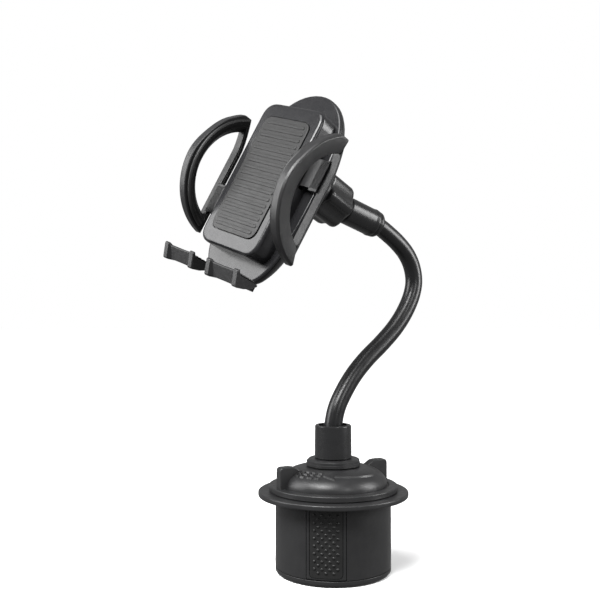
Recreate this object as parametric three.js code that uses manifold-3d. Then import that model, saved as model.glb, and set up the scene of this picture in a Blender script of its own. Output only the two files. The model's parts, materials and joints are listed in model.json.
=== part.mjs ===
// Cup-holder phone mount: an expanding base, a gooseneck, a ball joint and a gripping cradle.
// Millimetres, +Z up. The origin is the centre of the base's underside, the gooseneck bends in
// the YZ plane, and the cradle looks towards -Y.
import * as THREE from 'three';
import { mergeVertices } from 'three/addons/utils/BufferGeometryUtils.js';
import Module from 'manifold-3d';

const wasm = await Module();
wasm.setup();

// ---------------------------------------------------------------- driving dimensions
const GAP = 0.3;                    // clearance between neighbouring pieces
const DEG = Math.PI / 180;

// Base: fits a 66 mm (2.6 in) cup holder and grows with three jaws.
const BASE_R = 33;
const PLATE_TOP = 3.7;              // top of the screwed-on bottom plate
const DECK_Z = 43.3;                // underside of the flange and deck
const FLANGE_TOP = 46.3;
const FLANGE_R = 42.9;
const SHELL_WALL = 2.4;
const JAW_COUNT = 3;
const JAW_STEP = 360 / JAW_COUNT;
const JAW_FIRST = -44;              // degrees, direction of the first jaw
const JAW_HALF = 10.75;             // half width of a jaw panel
const JAW_INNER_R = 30.9;
const JAW_TRAVEL = 8;
const DIAL_TRAVEL = 80;             // degrees of dial that give the jaw travel
const PAD_HALF = 9;
const PIN_R = 1.6;                  // follower pin under the scroll plate
const PIN_REST = 14.5;              // its radius when the jaws are closed
const SCROLL_Z = [36.5, 39.7];

// Dial on top of the deck.
const DIAL_RIM_R = 36.7;
const DIAL_BOTTOM = 46.6;
const DIAL_RIM_TOP = 49.7;
const DOME_R = 30.8;
const DOME_TOP = 60;
const COLLAR_R = 15;
const HUB_R = 12.3;
const HUB_TIP_R = 10.2;
const HUB_BOTTOM = 33;
const EAR_AZIMUTH = -98.5;
const EAR_HALF = 2.9;
const EAR_R = 34.7;
const EAR_TOP = 61.8;

// Post, lock nut and socket that carry the gooseneck.
const POST_R = 7.3;
const POST_TOP = 64.2;
const POST_BORE = 5.5;
const NECK_NUT_Z = [60.3, 64.4];
const SOCKET_R = [10.6, 10.4];
const SOCKET_Z = [64.7, 83.5];
const SOCKET_MOUTH = 4;             // depth of the six-sided recess round the tube

// Gooseneck: steel core in a rubber sleeve.
const TUBE_R = 5.2;
const CORE_R = 3;
const TUBE_SIDES = 10;
const NECK_ROUTE = [                // [y, z] of the centreline, base end first
  [0, 67], [0, 76], [0.3, 84], [2.7, 93], [8.3, 102.6], [15.6, 111.8], [24.8, 120.4],
  [36, 129], [47, 138.6], [55.6, 149.2], [60.9, 159.5], [62.3, 167.4], [60.4, 176.2],
  [55.8, 183.6], [49, 189.8], [41.6, 194.8], [33.3, 199.4], [17, 204.7],
];
const NECK_BENDS = [28.5, 61.5, 95.5, 129.5, 162.5];   // distance along the route of each bend

// Ball joint. The sleeve axis points away from the ball, 18 degrees below level.
const BALL_AT = [0, -1, 210.5];
const BALL_R = 7;
const STEM_R = 3;
const SLEEVE_TURN = -107.9 * DEG;
const SLEEVE_R = 8;
const SLEEVE_ALONG = [8.6, 32];
const RING_ALONG = [32.3, 36];
const SEAT_R = 9.1;
const BOSS_R = 11.2;
const BALL_NUT_Z = [-6, 16];
const NUT_LOBES = 6;
const NUT_MEAN_R = 12.9;
const NUT_WAVE = 1.1;

// Cradle, in its own frame: x to its right, y up along the phone, z out of the phone's face,
// with the ball at its origin.
const CRADLE_YAW = 15.2 * DEG;
const CRADLE_LEAN = 68.7 * DEG;     // 90 degrees less the 21.3 degree backward tilt
const CRADLE_ROLL = -17.2 * DEG;
const PHONE_FRONT = 65;
const BACK_Z = 29;                  // rear face of the housing
const SPLIT_Z = 42.5;               // where the rear shell meets the front cover
const LEDGE_Z = 44.5;
const BOX_Z = 56;                   // face of the raised block behind the phone
const BOX_HALF = 24;
const BOX_Y = [-55, 30];
const COVER_WALL = 1.8;
const SLIDE_Z = [47, 50];           // the arms' rack plates
const PINION_Y = -16;
const PINION_TEETH = 10;
const MODULE = 1;
const PITCH_R = PINION_TEETH * MODULE / 2;
const RACK_END = 10.5;              // how far a rack reaches past the pinion
const ARM_X = [36.3, 42];
const ARM_CENTRE = [-14.1, 38.4];   // [y, z] centre of the D-shaped arm's arc
const ARM_R = 37;
const ARM_TOP = 19.7;               // where the arc is cut off square
const WINDOW_R = 28;
const ARM_BACK = 45.6;
const BAR_FRONT = 49.5;
const FOOT_X = [5.6, 32];
const BUTTON_Y = 24;
const ROCKER_Y = 8;
const SCREW_BOSS_R = 3;
const SCREW_SPOTS = [[13.5, 16], [-13.5, 16], [13.5, -42.4], [-13.5, -42.4]];

// ---------------------------------------------------------------- materials
function finish(color, roughness, metalness = 0) {
  return () => new THREE.MeshStandardMaterial({ color, roughness, metalness });
}
const satin = finish(0x2b2b2d, 0.48);
const gloss = finish(0x1b1b1d, 0.28);
const rubber = finish(0x171717, 0.85);
const ledge = finish(0x3a3a3d, 0.35);
const steel = finish(0x9a9a9e, 0.35, 0.9);
const acetal = finish(0xd8d5cc, 0.5);

// ---------------------------------------------------------------- shape helpers
function closedMesh(geometry) {
  const bare = geometry.clone();
  bare.deleteAttribute('normal');
  bare.deleteAttribute('uv');
  const merged = mergeVertices(bare, 1e-4);
  const corners = merged.index.array;
  const kept = [];
  for (let i = 0; i < corners.length; i += 3) {
    const [a, b, c] = corners.slice(i, i + 3);
    if (a !== b && b !== c && c !== a) kept.push(a, b, c);
  }
  return { points: new Float32Array(merged.attributes.position.array), faces: kept };
}

function signedVolume(points, faces) {
  let total = 0;
  const corner = (i) => new THREE.Vector3().fromArray(points, 3 * i);
  for (let i = 0; i < faces.length; i += 3) {
    total += corner(faces[i]).dot(corner(faces[i + 1]).cross(corner(faces[i + 2])));
  }
  return total;
}

function solid(geometry) {
  const { points, faces } = closedMesh(geometry);
  if (signedVolume(points, faces) < 0) faces.reverse();
  const mesh = new wasm.Mesh({
    numProp: 3, vertProperties: points, triVerts: new Uint32Array(faces),
  });
  return new wasm.Manifold(mesh);
}

// A ring or disc turned about z from an outline of [radius, z] points.
function turned(outline, sides = 32) {
  const onAxis = outline[0][0] === 0 && outline[outline.length - 1][0] === 0;
  const loop = onAxis ? outline : [...outline, outline[0]];
  const points = loop.map(([r, z]) => new THREE.Vector2(r, z));
  return solid(new THREE.LatheGeometry(points, sides).rotateX(Math.PI / 2));
}

function rod(radius, z0, z1, x = 0, y = 0, sides = 16) {
  const geometry = new THREE.CylinderGeometry(radius, radius, z1 - z0, sides);
  return solid(geometry.rotateX(Math.PI / 2).translate(x, y, (z0 + z1) / 2));
}

function block(x0, x1, y0, y1, z0, z1) {
  const geometry = new THREE.BoxGeometry(x1 - x0, y1 - y0, z1 - z0);
  return solid(geometry.translate((x0 + x1) / 2, (y0 + y1) / 2, (z0 + z1) / 2));
}

function globe(radius, x, y, z, sides = 24) {
  return solid(new THREE.SphereGeometry(radius, sides, sides / 2).translate(x, y, z));
}

function prismGeometry(outline, z0, z1, bevel = 0) {
  const shape = outline instanceof THREE.Shape ? outline
    : new THREE.Shape(outline.map(([x, y]) => new THREE.Vector2(x, y)));
  const geometry = new THREE.ExtrudeGeometry(shape, {
    depth: z1 - z0 - bevel, steps: 1, curveSegments: 4, bevelEnabled: bevel > 0,
    bevelThickness: bevel, bevelSize: bevel, bevelOffset: -bevel, bevelSegments: 1,
  });
  return geometry.translate(0, 0, z0);
}

function prism(outline, z0, z1) {
  return solid(prismGeometry(outline, z0, z1));
}

// An outline drawn in the [y, z] plane and extruded along x.
function sidePrism(outline, x0, x1) {
  const geometry = prismGeometry(outline, x0, x1);
  const toSide = new THREE.Matrix4().set(0, 0, 1, 0, 1, 0, 0, 0, 0, 1, 0, 0, 0, 0, 0, 1);
  return solid(geometry.applyMatrix4(toSide));
}

// A ring turned about an axis parallel to x through [y, z], from [radius, x] points.
function turnedAboutX(outline, centre, sides) {
  const loop = [...outline, outline[0]];
  const points = loop.map(([r, x]) => new THREE.Vector2(r, x));
  const geometry = new THREE.LatheGeometry(points, sides).rotateZ(-Math.PI / 2);
  return solid(geometry.translate(0, centre[0], centre[1]));
}

function roundedRect(halfWidth, y0, y1, radius) {
  const shape = new THREE.Shape();
  shape.moveTo(-halfWidth + radius, y0);
  shape.lineTo(halfWidth - radius, y0);
  shape.absarc(halfWidth - radius, y0 + radius, radius, -Math.PI / 2, 0);
  shape.lineTo(halfWidth, y1 - radius);
  shape.absarc(halfWidth - radius, y1 - radius, radius, 0, Math.PI / 2);
  shape.lineTo(-halfWidth + radius, y1);
  shape.absarc(-halfWidth + radius, y1 - radius, radius, Math.PI / 2, Math.PI);
  shape.lineTo(-halfWidth, y0 + radius);
  shape.absarc(-halfWidth + radius, y0 + radius, radius, Math.PI, 1.5 * Math.PI);
  return shape;
}

function around(count, place) {
  return Array.from({ length: count }, (unused, i) => place(i));
}

function place(group, name, shape, material, mirrored = false) {
  const { vertProperties, triVerts } = shape.getMesh();
  const geometry = new THREE.BufferGeometry();
  const points = Float32Array.from(vertProperties);
  const faces = Uint32Array.from(triVerts);
  if (mirrored) {
    for (let i = 0; i < points.length; i += 3) points[i] = -points[i];
    faces.reverse();
  }
  geometry.setAttribute('position', new THREE.BufferAttribute(points, 3));
  geometry.setIndex(new THREE.BufferAttribute(faces, 1));
  const mesh = new THREE.Mesh(geometry, material());
  mesh.name = name;
  group.add(mesh);
  return mesh;
}

function childGroup(parent) {
  const group = new THREE.Group();
  parent.add(group);
  return group;
}

const mount = new THREE.Group();
const base = childGroup(mount);

// ---------------------------------------------------------------- base
const SCREW_RING = 26.6;            // the bottom plate's screws, between the jaws
const CENTRE_PAD_R = 12;            // rubber disc that covers the post screw
const CENTRE_PAD_TOP = 0.8;
const POST_SCREW_HEAD = [1.1, 2.4];
const screwAngles = around(JAW_COUNT, (i) => (JAW_FIRST + JAW_STEP * (i + 0.5)) * DEG);
const jawAngles = around(JAW_COUNT, (i) => (JAW_FIRST + JAW_STEP * i) * DEG);

function turnedTo(shape, angle) {
  return shape.rotate([0, 0, angle / DEG]);
}

function baseShell() {
  const inner = BASE_R - SHELL_WALL;
  const deckHole = HUB_R + GAP;
  let shell = turned([
    [inner, PLATE_TOP + GAP], [BASE_R, PLATE_TOP + GAP], [BASE_R, DECK_Z],
    [FLANGE_R - 0.6, DECK_Z], [FLANGE_R, DECK_Z + 0.6], [FLANGE_R, FLANGE_TOP - 0.6],
    [FLANGE_R - 0.6, FLANGE_TOP], [deckHole, FLANGE_TOP], [deckHole, DECK_Z], [inner, DECK_Z],
  ], 30);
  const window = block(24, 36, -JAW_HALF - GAP, JAW_HALF + GAP, 0, DECK_Z);
  for (const angle of jawAngles) shell = shell.subtract(turnedTo(window, angle));
  const bossTop = SCROLL_Z[0] - 2;
  const boss = rod(3.4, PLATE_TOP + GAP, bossTop, SCREW_RING, 0, 10)
    .add(block(SCREW_RING, inner + 1, -1.2, 1.2, PLATE_TOP + GAP, bossTop));
  const hole = rod(1.4, 0, 14.5, SCREW_RING, 0, 8);
  for (const angle of screwAngles) {
    shell = shell.add(turnedTo(boss, angle)).subtract(turnedTo(hole, angle));
  }
  return shell;
}

function bottomPlate() {
  let plate = turned([
    [0, 0], [BASE_R - 1.4, 0], [BASE_R - 0.4, 0.5], [BASE_R, 1.4], [BASE_R, PLATE_TOP], [0, PLATE_TOP],
  ], 30);
  const railInner = 6.6;
  const rail = block(9.5, 28.3, railInner, railInner + 1.6, PLATE_TOP - 1, 8)
    .add(block(9.5, 28.3, -railInner - 1.6, -railInner, PLATE_TOP - 1, 8));
  const screwHole = rod(1.5, -1, 5, SCREW_RING, 0, 8).add(rod(3, -1, 2.4, SCREW_RING, 0, 12));
  for (const angle of jawAngles) plate = plate.add(turnedTo(rail, angle));
  for (const angle of screwAngles) plate = plate.subtract(turnedTo(screwHole, angle));
  const padRecess = rod(CENTRE_PAD_R + GAP, -1, CENTRE_PAD_TOP + GAP, 0, 0, 24);
  return plate.subtract(padRecess).subtract(rod(1.8, -1, 5, 0, 0, 10))
    .subtract(rod(4, -1, POST_SCREW_HEAD[1] + GAP, 0, 0, 12));
}

// A pan-head screw pointing up, with a cross recess in its head.
function screw(shankR, headR, headZ0, headZ1, tip, x = 0, y = 0) {
  const body = rod(headR, headZ0, headZ1, x, y, 12).add(rod(shankR, headZ1 - 0.5, tip, x, y, 6));
  const arm = headR * 0.62;
  const depth = headZ0 + 0.8;
  const cross = block(x - arm, x + arm, y - 0.35, y + 0.35, headZ0 - 1, depth)
    .add(block(x - 0.35, x + 0.35, y - arm, y + arm, headZ0 - 1, depth));
  return body.subtract(cross);
}

function gripJaw() {
  const bottom = PLATE_TOP + 2 * GAP;
  const top = DECK_Z - GAP;
  let panel = turned([
    [JAW_INNER_R, bottom], [BASE_R, bottom], [BASE_R, top], [JAW_INNER_R, top],
  ], 60).intersect(block(20, 40, -JAW_HALF, JAW_HALF, 0, 50));
  const recess = turned([[32, 5], [40, 5], [40, 50], [32, 50]], 36)
    .intersect(block(20, 40, -PAD_HALF - GAP, PAD_HALF + GAP, 0, 60));
  panel = panel.subtract(recess);
  const shoe = block(13, JAW_INNER_R + 0.5, -6.3, 6.3, PLATE_TOP + GAP, 7.5);
  const arm = block(PIN_REST, JAW_INNER_R + 0.4, -4, 4, 30.5, 33.5)
    .add(rod(2.4, 30.5, 33.5, PIN_REST, 0, 10));
  const rib = block(24, JAW_INNER_R + 0.4, -1, 1, 6, 32);
  const pin = rod(PIN_R, 33, SCROLL_Z[1] - GAP, PIN_REST, 0, 12);
  return panel.add(shoe).add(arm).add(rib).add(pin);
}

function jawPad() {
  return turned([
    [32.3, 5.3], [BASE_R, 5.3], [BASE_R, DECK_Z - 0.5], [32.3, DECK_Z - 0.5],
  ], 60).intersect(block(20, 40, -PAD_HALF, PAD_HALF, 0, 50));
}

// The scroll plate: each slot is a spiral, so the jaws move evenly with the dial.
function scrollPlate() {
  const slotHalf = PIN_R + 2 * GAP;
  const overrun = 9;                // degrees of slot past each end of the travel
  const steps = 9;
  const spiral = (offset) => around(steps + 1, (i) => {
    const turn = -overrun + (DIAL_TRAVEL + 2 * overrun) * i / steps;
    const r = PIN_REST + JAW_TRAVEL * turn / DIAL_TRAVEL + offset;
    return [r * Math.cos(turn * DEG), r * Math.sin(turn * DEG)];
  });
  const slotOutline = [...spiral(slotHalf), ...spiral(-slotHalf).reverse()];
  const slot = prism(slotOutline, SCROLL_Z[0] - 1, SCROLL_Z[1] + 1);
  let plate = turned([
    [HUB_TIP_R + GAP, SCROLL_Z[0]], [26, SCROLL_Z[0]], [26, SCROLL_Z[1]],
    [HUB_TIP_R + GAP, SCROLL_Z[1]],
  ], 28);
  for (const angle of jawAngles) plate = plate.subtract(turnedTo(slot, angle));
  return plate;
}

function dialCap() {
  const domeArc = (rim, crown, low, high, steps) => around(steps + 1, (i) => {
    const t = (i / steps) * Math.PI / 2;
    return [crown + (rim - crown) * Math.cos(t), low + (high - low) * Math.sin(t)];
  });
  const grooveTop = 36.5;
  let cap = turned([
    [DIAL_RIM_R - 0.5, DIAL_BOTTOM], [DIAL_RIM_R, DIAL_BOTTOM + 0.5],
    [DIAL_RIM_R, DIAL_RIM_TOP - 0.6], [DIAL_RIM_R - 0.6, DIAL_RIM_TOP],
    [DOME_R + 0.6, DIAL_RIM_TOP],
    ...domeArc(DOME_R, COLLAR_R + 0.5, DIAL_RIM_TOP + 0.5, DOME_TOP, 4),
    [POST_R + GAP, DOME_TOP], [POST_R + GAP, HUB_BOTTOM], [HUB_TIP_R, HUB_BOTTOM],
    [HUB_TIP_R, 35], [HUB_TIP_R - 0.9, 35], [HUB_TIP_R - 0.9, grooveTop - 0.1],
    [HUB_TIP_R, grooveTop - 0.1], [HUB_TIP_R, SCROLL_Z[1] + GAP], [HUB_R, SCROLL_Z[1] + GAP],
    ...domeArc(DOME_R - 2.6, HUB_R, 48.8, DOME_TOP - 2.6, 2).reverse(),
    [DIAL_RIM_R - 2.6, 48.2], [DIAL_RIM_R - 2.6, DIAL_BOTTOM],
  ], 28);
  const earOutline = [
    [18, 56], [21, 58.6], [25.5, 61.2], [28, EAR_TOP], [EAR_R - 2, EAR_TOP],
    [EAR_R - 0.6, EAR_TOP - 0.6], [EAR_R, EAR_TOP - 2], [EAR_R, DIAL_RIM_TOP - 0.5],
    [27.5, DIAL_RIM_TOP - 0.5], [25, 53], [21, 56],
  ];
  const toRadial = new THREE.Matrix4().set(1, 0, 0, 0, 0, 0, -1, 0, 0, 1, 0, 0, 0, 0, 0, 1);
  const ear = solid(prismGeometry(earOutline, -EAR_HALF, EAR_HALF).applyMatrix4(toRadial));
  for (const side of [0, Math.PI]) cap = cap.add(turnedTo(ear, EAR_AZIMUTH * DEG + side));
  return cap;
}

// A snap ring in the hub's groove, open at one side.
function snapRing() {
  const ring = turned([[9.6, 35.3], [12, 35.3], [12, 36.1], [9.6, 36.1]], 20);
  return ring.subtract(block(-14, 0, -3, 3, 30, 40));
}

function centrePost() {
  return turned([
    [0, PLATE_TOP + GAP], [8.2, PLATE_TOP + GAP], [8.2, 6.5], [POST_R, 6.5], [POST_R, POST_TOP],
    [POST_BORE, POST_TOP], [POST_BORE, 44], [0, 44],
  ], 20).subtract(rod(1.5, 0, 16, 0, 0, 10));
}

function neckLockNut() {
  const flats = 8;
  const outer = rod(COLLAR_R / Math.cos(Math.PI / flats), NECK_NUT_Z[0], NECK_NUT_Z[1], 0, 0, flats);
  const rounding = turned([
    [0, NECK_NUT_Z[0]], [COLLAR_R, NECK_NUT_Z[0]], [COLLAR_R + 0.5, NECK_NUT_Z[0] + 0.6],
    [COLLAR_R + 0.5, NECK_NUT_Z[1] - 1.2], [COLLAR_R - 0.9, NECK_NUT_Z[1]], [0, NECK_NUT_Z[1]],
  ], 16);
  return outer.intersect(rounding).subtract(rod(POST_R + GAP, 50, 70));
}

function neckSocket() {
  const [bottom, top] = SOCKET_Z;
  const body = turned([
    [0, 47], [POST_BORE - GAP, 47], [POST_BORE - GAP, bottom], [SOCKET_R[0] - 0.4, bottom],
    [SOCKET_R[0], bottom + 0.4], [SOCKET_R[1], top - 0.6], [SOCKET_R[1] - 0.5, top], [0, top],
  ], 20);
  const mouth = rod(9.3, top - SOCKET_MOUTH, top + 1, 0, 0, 6);
  return body.subtract(mouth).subtract(rod(TUBE_R + GAP, 66.5, top, 0, 0, 12));
}

place(base, 'base_shell', baseShell(), satin);
place(base, 'base_bottom_plate', bottomPlate(), satin);
screwAngles.forEach((angle, i) => {
  const at = childGroup(base);
  at.rotation.z = angle;
  place(at, `bottom_plate_screw_${i + 1}`, screw(1.1, 2.6, 0.5, 2.1, 13, SCREW_RING), steel);
});
jawAngles.forEach((angle, i) => {
  const at = childGroup(base);
  at.rotation.z = angle;
  place(at, `grip_jaw_${i + 1}`, gripJaw(), satin);
  place(at, `jaw_pad_${i + 1}`, jawPad(), rubber);
});
place(base, 'scroll_plate', scrollPlate(), acetal);
place(base, 'dial_cap', dialCap(), satin);
place(base, 'dial_snap_ring', snapRing(), steel);
place(base, 'centre_post', centrePost(), satin);
place(base, 'post_screw', screw(1.3, 3.6, ...POST_SCREW_HEAD, 15), steel);
place(base, 'base_centre_pad', rod(CENTRE_PAD_R, 0, CENTRE_PAD_TOP, 0, 0, 24), rubber);
place(base, 'neck_lock_nut', neckLockNut(), satin);
place(base, 'neck_socket', neckSocket(), satin);

// ---------------------------------------------------------------- gooseneck
const route = new THREE.CatmullRomCurve3(
  NECK_ROUTE.map(([y, z]) => new THREE.Vector3(0, y, z)), false, 'centripetal',
);
const routeLength = route.getLength();

class Stretch extends THREE.Curve {
  constructor(from, to) {
    super();
    this.from = from;
    this.to = to;
  }

  // Past either end of the route the stretch runs straight on.
  getPoint(t, target = new THREE.Vector3()) {
    const along = THREE.MathUtils.lerp(this.from, this.to, t);
    const held = THREE.MathUtils.clamp(along, 0, routeLength);
    route.getPointAt(held / routeLength, target);
    return target.addScaledVector(route.getTangentAt(held / routeLength), along - held);
  }
}

function tube(from, to, radius, sides) {
  const ring = around(sides, (i) => {
    const turn = 2 * Math.PI * i / sides;
    return new THREE.Vector2(radius * Math.cos(turn), radius * Math.sin(turn));
  });
  const steps = Math.max(2, Math.round((to - from) / 8));
  return solid(new THREE.ExtrudeGeometry(new THREE.Shape(ring), {
    steps, extrudePath: new Stretch(from, to),
  }));
}

// A sleeve length is round at its lower bend and hollowed at its upper one, so it can swing.
function sleeveLength(from, to, first, last) {
  const centre = (along) => route.getPointAt(along / routeLength);
  let shape = tube(from, to, TUBE_R, TUBE_SIDES);
  if (!first) shape = shape.add(globe(TUBE_R * 0.995, ...centre(from).toArray(), TUBE_SIDES));
  if (!last) shape = shape.subtract(globe(TUBE_R + 0.8, ...centre(to).toArray(), 12));
  const boreFrom = first ? from : from - TUBE_R;
  return shape.subtract(tube(boreFrom - 0.1, to + 0.1, CORE_R + 2 * GAP, 6));
}

const neckEnds = [0, ...NECK_BENDS, routeLength];
const coreLead = 4.2;               // a core length starts inside its sleeve's round lower end
const coreShort = 5.7;              // and stops clear of the next sleeve's round end
for (let i = 0; i + 1 < neckEnds.length; i += 1) {
  const first = i === 0;
  const last = i + 2 === neckEnds.length;
  const [from, to] = [neckEnds[i], neckEnds[i + 1]];
  place(mount, `neck_sleeve_${i + 1}`, sleeveLength(from, to, first, last), gloss);
  const coreFrom = first ? from + 0.5 : from - coreLead;
  const coreTo = last ? to - 0.5 : to - coreShort;
  place(mount, `neck_core_${i + 1}`, tube(coreFrom, coreTo, CORE_R, 6), steel);
}

// ---------------------------------------------------------------- upper sleeve and ball stud
const head = childGroup(mount);
head.position.set(...BALL_AT);
const sleeve = childGroup(head);
sleeve.rotation.x = SLEEVE_TURN;

function upperSleeve() {
  const [near, far] = SLEEVE_ALONG;
  return turned([
    [STEM_R + GAP, near], [6.2, near], [SLEEVE_R - 0.5, near + 0.9], [SLEEVE_R, near + 1.6],
    [SLEEVE_R, far - 2.5], [SLEEVE_R + 0.3, far - 1.2], [SLEEVE_R, far],
    [TUBE_R + GAP, far], [TUBE_R + GAP, near + 3.4], [STEM_R + GAP, near + 3.4],
  ], 20);
}

function sleeveRing() {
  const [near, far] = RING_ALONG;
  return turned([
    [TUBE_R + GAP, near], [7.7, near], [7.8, near + 0.6], [7.6, far - 1.2], [6.9, far - 0.3],
    [6.2, far], [TUBE_R + GAP, far],
  ], 20);
}

function ballStud() {
  const arcSteps = 6;
  const stemStart = Math.sqrt(BALL_R ** 2 - STEM_R ** 2);
  const startAngle = Math.acos(stemStart / BALL_R);
  const arc = around(arcSteps + 1, (i) => {
    const t = startAngle + (Math.PI - startAngle) * i / arcSteps;
    return [i === arcSteps ? 0 : BALL_R * Math.sin(t), BALL_R * Math.cos(t)];
  });
  const plugStart = SLEEVE_ALONG[0] + 3.4 + GAP;
  return turned([
    [0, plugStart + 6], [TUBE_R, plugStart + 6], [TUBE_R, plugStart], [STEM_R, plugStart], ...arc,
  ], 16);
}

place(sleeve, 'upper_sleeve', upperSleeve(), satin);
place(sleeve, 'upper_sleeve_ring', sleeveRing(), satin);
place(sleeve, 'ball_stud', ballStud(), satin);

// ---------------------------------------------------------------- cradle
const yaw = childGroup(head);
yaw.rotation.z = CRADLE_YAW;
const lean = childGroup(yaw);
lean.rotation.x = CRADLE_LEAN;
const cradle = childGroup(lean);
cradle.rotation.z = CRADLE_ROLL;

// A thin spherical ring in front of the ball, from one polar angle to another.
function ballRing(inner, outer, fromDeg, toDeg) {
  const steps = 3;
  const arc = (r) => around(steps + 1, (i) => {
    const t = (fromDeg + (toDeg - fromDeg) * i / steps) * DEG;
    return [r * Math.sin(t), r * Math.cos(t)];
  });
  return turned([...arc(inner), ...arc(outer).reverse()], 16);
}

function ballLockNut() {
  const [rear, front] = BALL_NUT_Z;
  const points = 30;
  const outline = around(points, (i) => {
    const t = 2 * Math.PI * i / points;
    const r = NUT_MEAN_R + NUT_WAVE * Math.cos(NUT_LOBES * t);
    return [r * Math.cos(t), r * Math.sin(t)];
  });
  const shell = turned([
    [0, rear], [11.6, rear], [13.4, rear + 1.2], [14.2, rear + 2.6], [14.2, front - 1],
    [13.4, front], [0, front],
  ], 18);
  const cavity = turned([
    [0, front + 1], [BOSS_R + GAP, front + 1], [BOSS_R + GAP, -0.6], [6.8, -2.8], [6.1, -4.1],
    [5.5, -4.9], [6.9, rear - 0.2], [0, rear - 0.2],
  ], 18);
  return prism(outline, rear, front).intersect(shell).subtract(cavity);
}

// Outline of the housing: straight bottom edge, bulging sides and an arched top.
function housingShape(inset) {
  const shape = new THREE.Shape();
  const x = (value) => value - inset;
  const rise = (value, share = 1) => value + share * inset;
  shape.moveTo(0, rise(-66.6));
  shape.lineTo(x(14), rise(-66.4));
  shape.bezierCurveTo(x(20.5), rise(-66), x(24.6), rise(-60, 0.9), x(27.6), rise(-51, 0.6));
  shape.bezierCurveTo(x(32), -36, x(32), -6, x(30), 10);
  shape.bezierCurveTo(x(30), 26 - inset, x(19), 43.5 - inset, 0, 43.5 - inset);
  shape.bezierCurveTo(-x(19), 43.5 - inset, -x(30), 26 - inset, -x(30), 10);
  shape.bezierCurveTo(-x(32), -6, -x(32), -36, -x(27.6), rise(-51, 0.6));
  shape.bezierCurveTo(-x(24.6), rise(-60, 0.9), -x(20.5), rise(-66), -x(14), rise(-66.4));
  shape.closePath();
  return shape;
}

// A closed solid through the housing's outline at each [inset, z] level.
function housingLoft(levels) {
  const rings = levels.map(([inset, z]) => housingShape(inset).getPoints(5).slice(0, -1)
    .map((point) => [point.x, point.y, z]));
  const points = rings.flat();
  const count = rings[0].length;
  const faces = [];
  rings.slice(1).forEach((ring, level) => {
    const start = level * count;
    for (let i = 0; i < count; i += 1) {
      const j = (i + 1) % count;
      faces.push(start + i, start + j, start + count + j, start + i, start + count + j, start + count + i);
    }
  });
  const middleY = -12;
  for (const level of [0, rings.length - 1]) {
    const centre = points.push([0, middleY, levels[level][1]]) - 1;
    const start = level * count;
    for (let i = 0; i < count; i += 1) {
      const pair = [start + i, start + (i + 1) % count];
      faces.push(centre, ...(level ? pair : pair.reverse()));
    }
  }
  const geometry = new THREE.BufferGeometry();
  geometry.setAttribute('position', new THREE.Float32BufferAttribute(points.flat(), 3));
  return solid(geometry.setIndex(faces));
}

// The rear shell's back is a shallow bowl: [inset, z] of its skin and of its hollow.
const SKIN_LEVELS = [
  [11.5, BACK_Z], [9, BACK_Z + 1.2], [6, 32.6], [3, 35.8], [0.9, 38.8], [0, 41], [0, SPLIT_Z],
];
const HOLLOW_LEVELS = [
  [11.2, BACK_Z + 2], [8.4, 33], [5.3, 36], [3, 39], [2, 41.2], [2, SPLIT_Z + 1],
];

const FOOT_SLOT = { x: [7, 17], z: [38.6, 41.6] };   // the tongue each foot slides on

function backHousing() {
  let shell = housingLoft(SKIN_LEVELS).subtract(housingLoft(HOLLOW_LEVELS));
  const boss = turned([
    [0, 0.4], [BOSS_R, 0.4], [BOSS_R, 19], [13, 21], [14.5, 26], [15.5, BACK_Z + 1], [0, BACK_Z + 1],
  ], 20);
  const seat = turned([
    [0, -1], [SEAT_R, -1], [SEAT_R, 0], [SEAT_R * Math.sin(70 * DEG), SEAT_R * Math.cos(70 * DEG)],
    [SEAT_R * Math.sin(50 * DEG), SEAT_R * Math.cos(50 * DEG)],
    [SEAT_R * Math.sin(28 * DEG), SEAT_R * Math.cos(28 * DEG)], [0, SEAT_R],
  ], 20);
  shell = shell.add(boss).subtract(seat).subtract(rod(7.5, 12, BACK_Z + 3, 0, 0, 16));
  for (const [x, y] of SCREW_SPOTS) {
    shell = shell.add(rod(SCREW_BOSS_R, BACK_Z + 1, SPLIT_Z, x, y, 10));
  }
  for (const [x, y] of SCREW_SPOTS) {
    shell = shell.subtract(rod(1.5, BACK_Z - 1, SPLIT_Z + 1, x, y, 8))
      .subtract(rod(3, BACK_Z - 1, BACK_Z + 2, x, y, 12));
  }
  for (const side of [-1, 1]) {
    const [x0, x1] = FOOT_SLOT.x.map((x) => side * x).sort((a, b) => a - b);
    shell = shell.subtract(block(
      x0 - GAP, x1 + GAP, -72, -60, FOOT_SLOT.z[0] - GAP, FOOT_SLOT.z[1] + GAP,
    ));
    const lug = block(side * 5 - 1, side * 5 + 1, ROCKER_Y - 2.5, ROCKER_Y + 2.5, BACK_Z + 1, 45.5);
    shell = shell.add(lug);
  }
  shell = shell.subtract(rod(6.3, BACK_Z - 1, BACK_Z + 3, 0, BUTTON_Y, 20));
  const pinionPost = rod(3, BACK_Z + 1, 45, 0, PINION_Y, 12);
  return shell.subtract(crossRod(1 + GAP, 10)).add(pinionPost)
    .subtract(rod(1.5 + GAP, 32, 60, 0, PINION_Y, 12));
}

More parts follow.
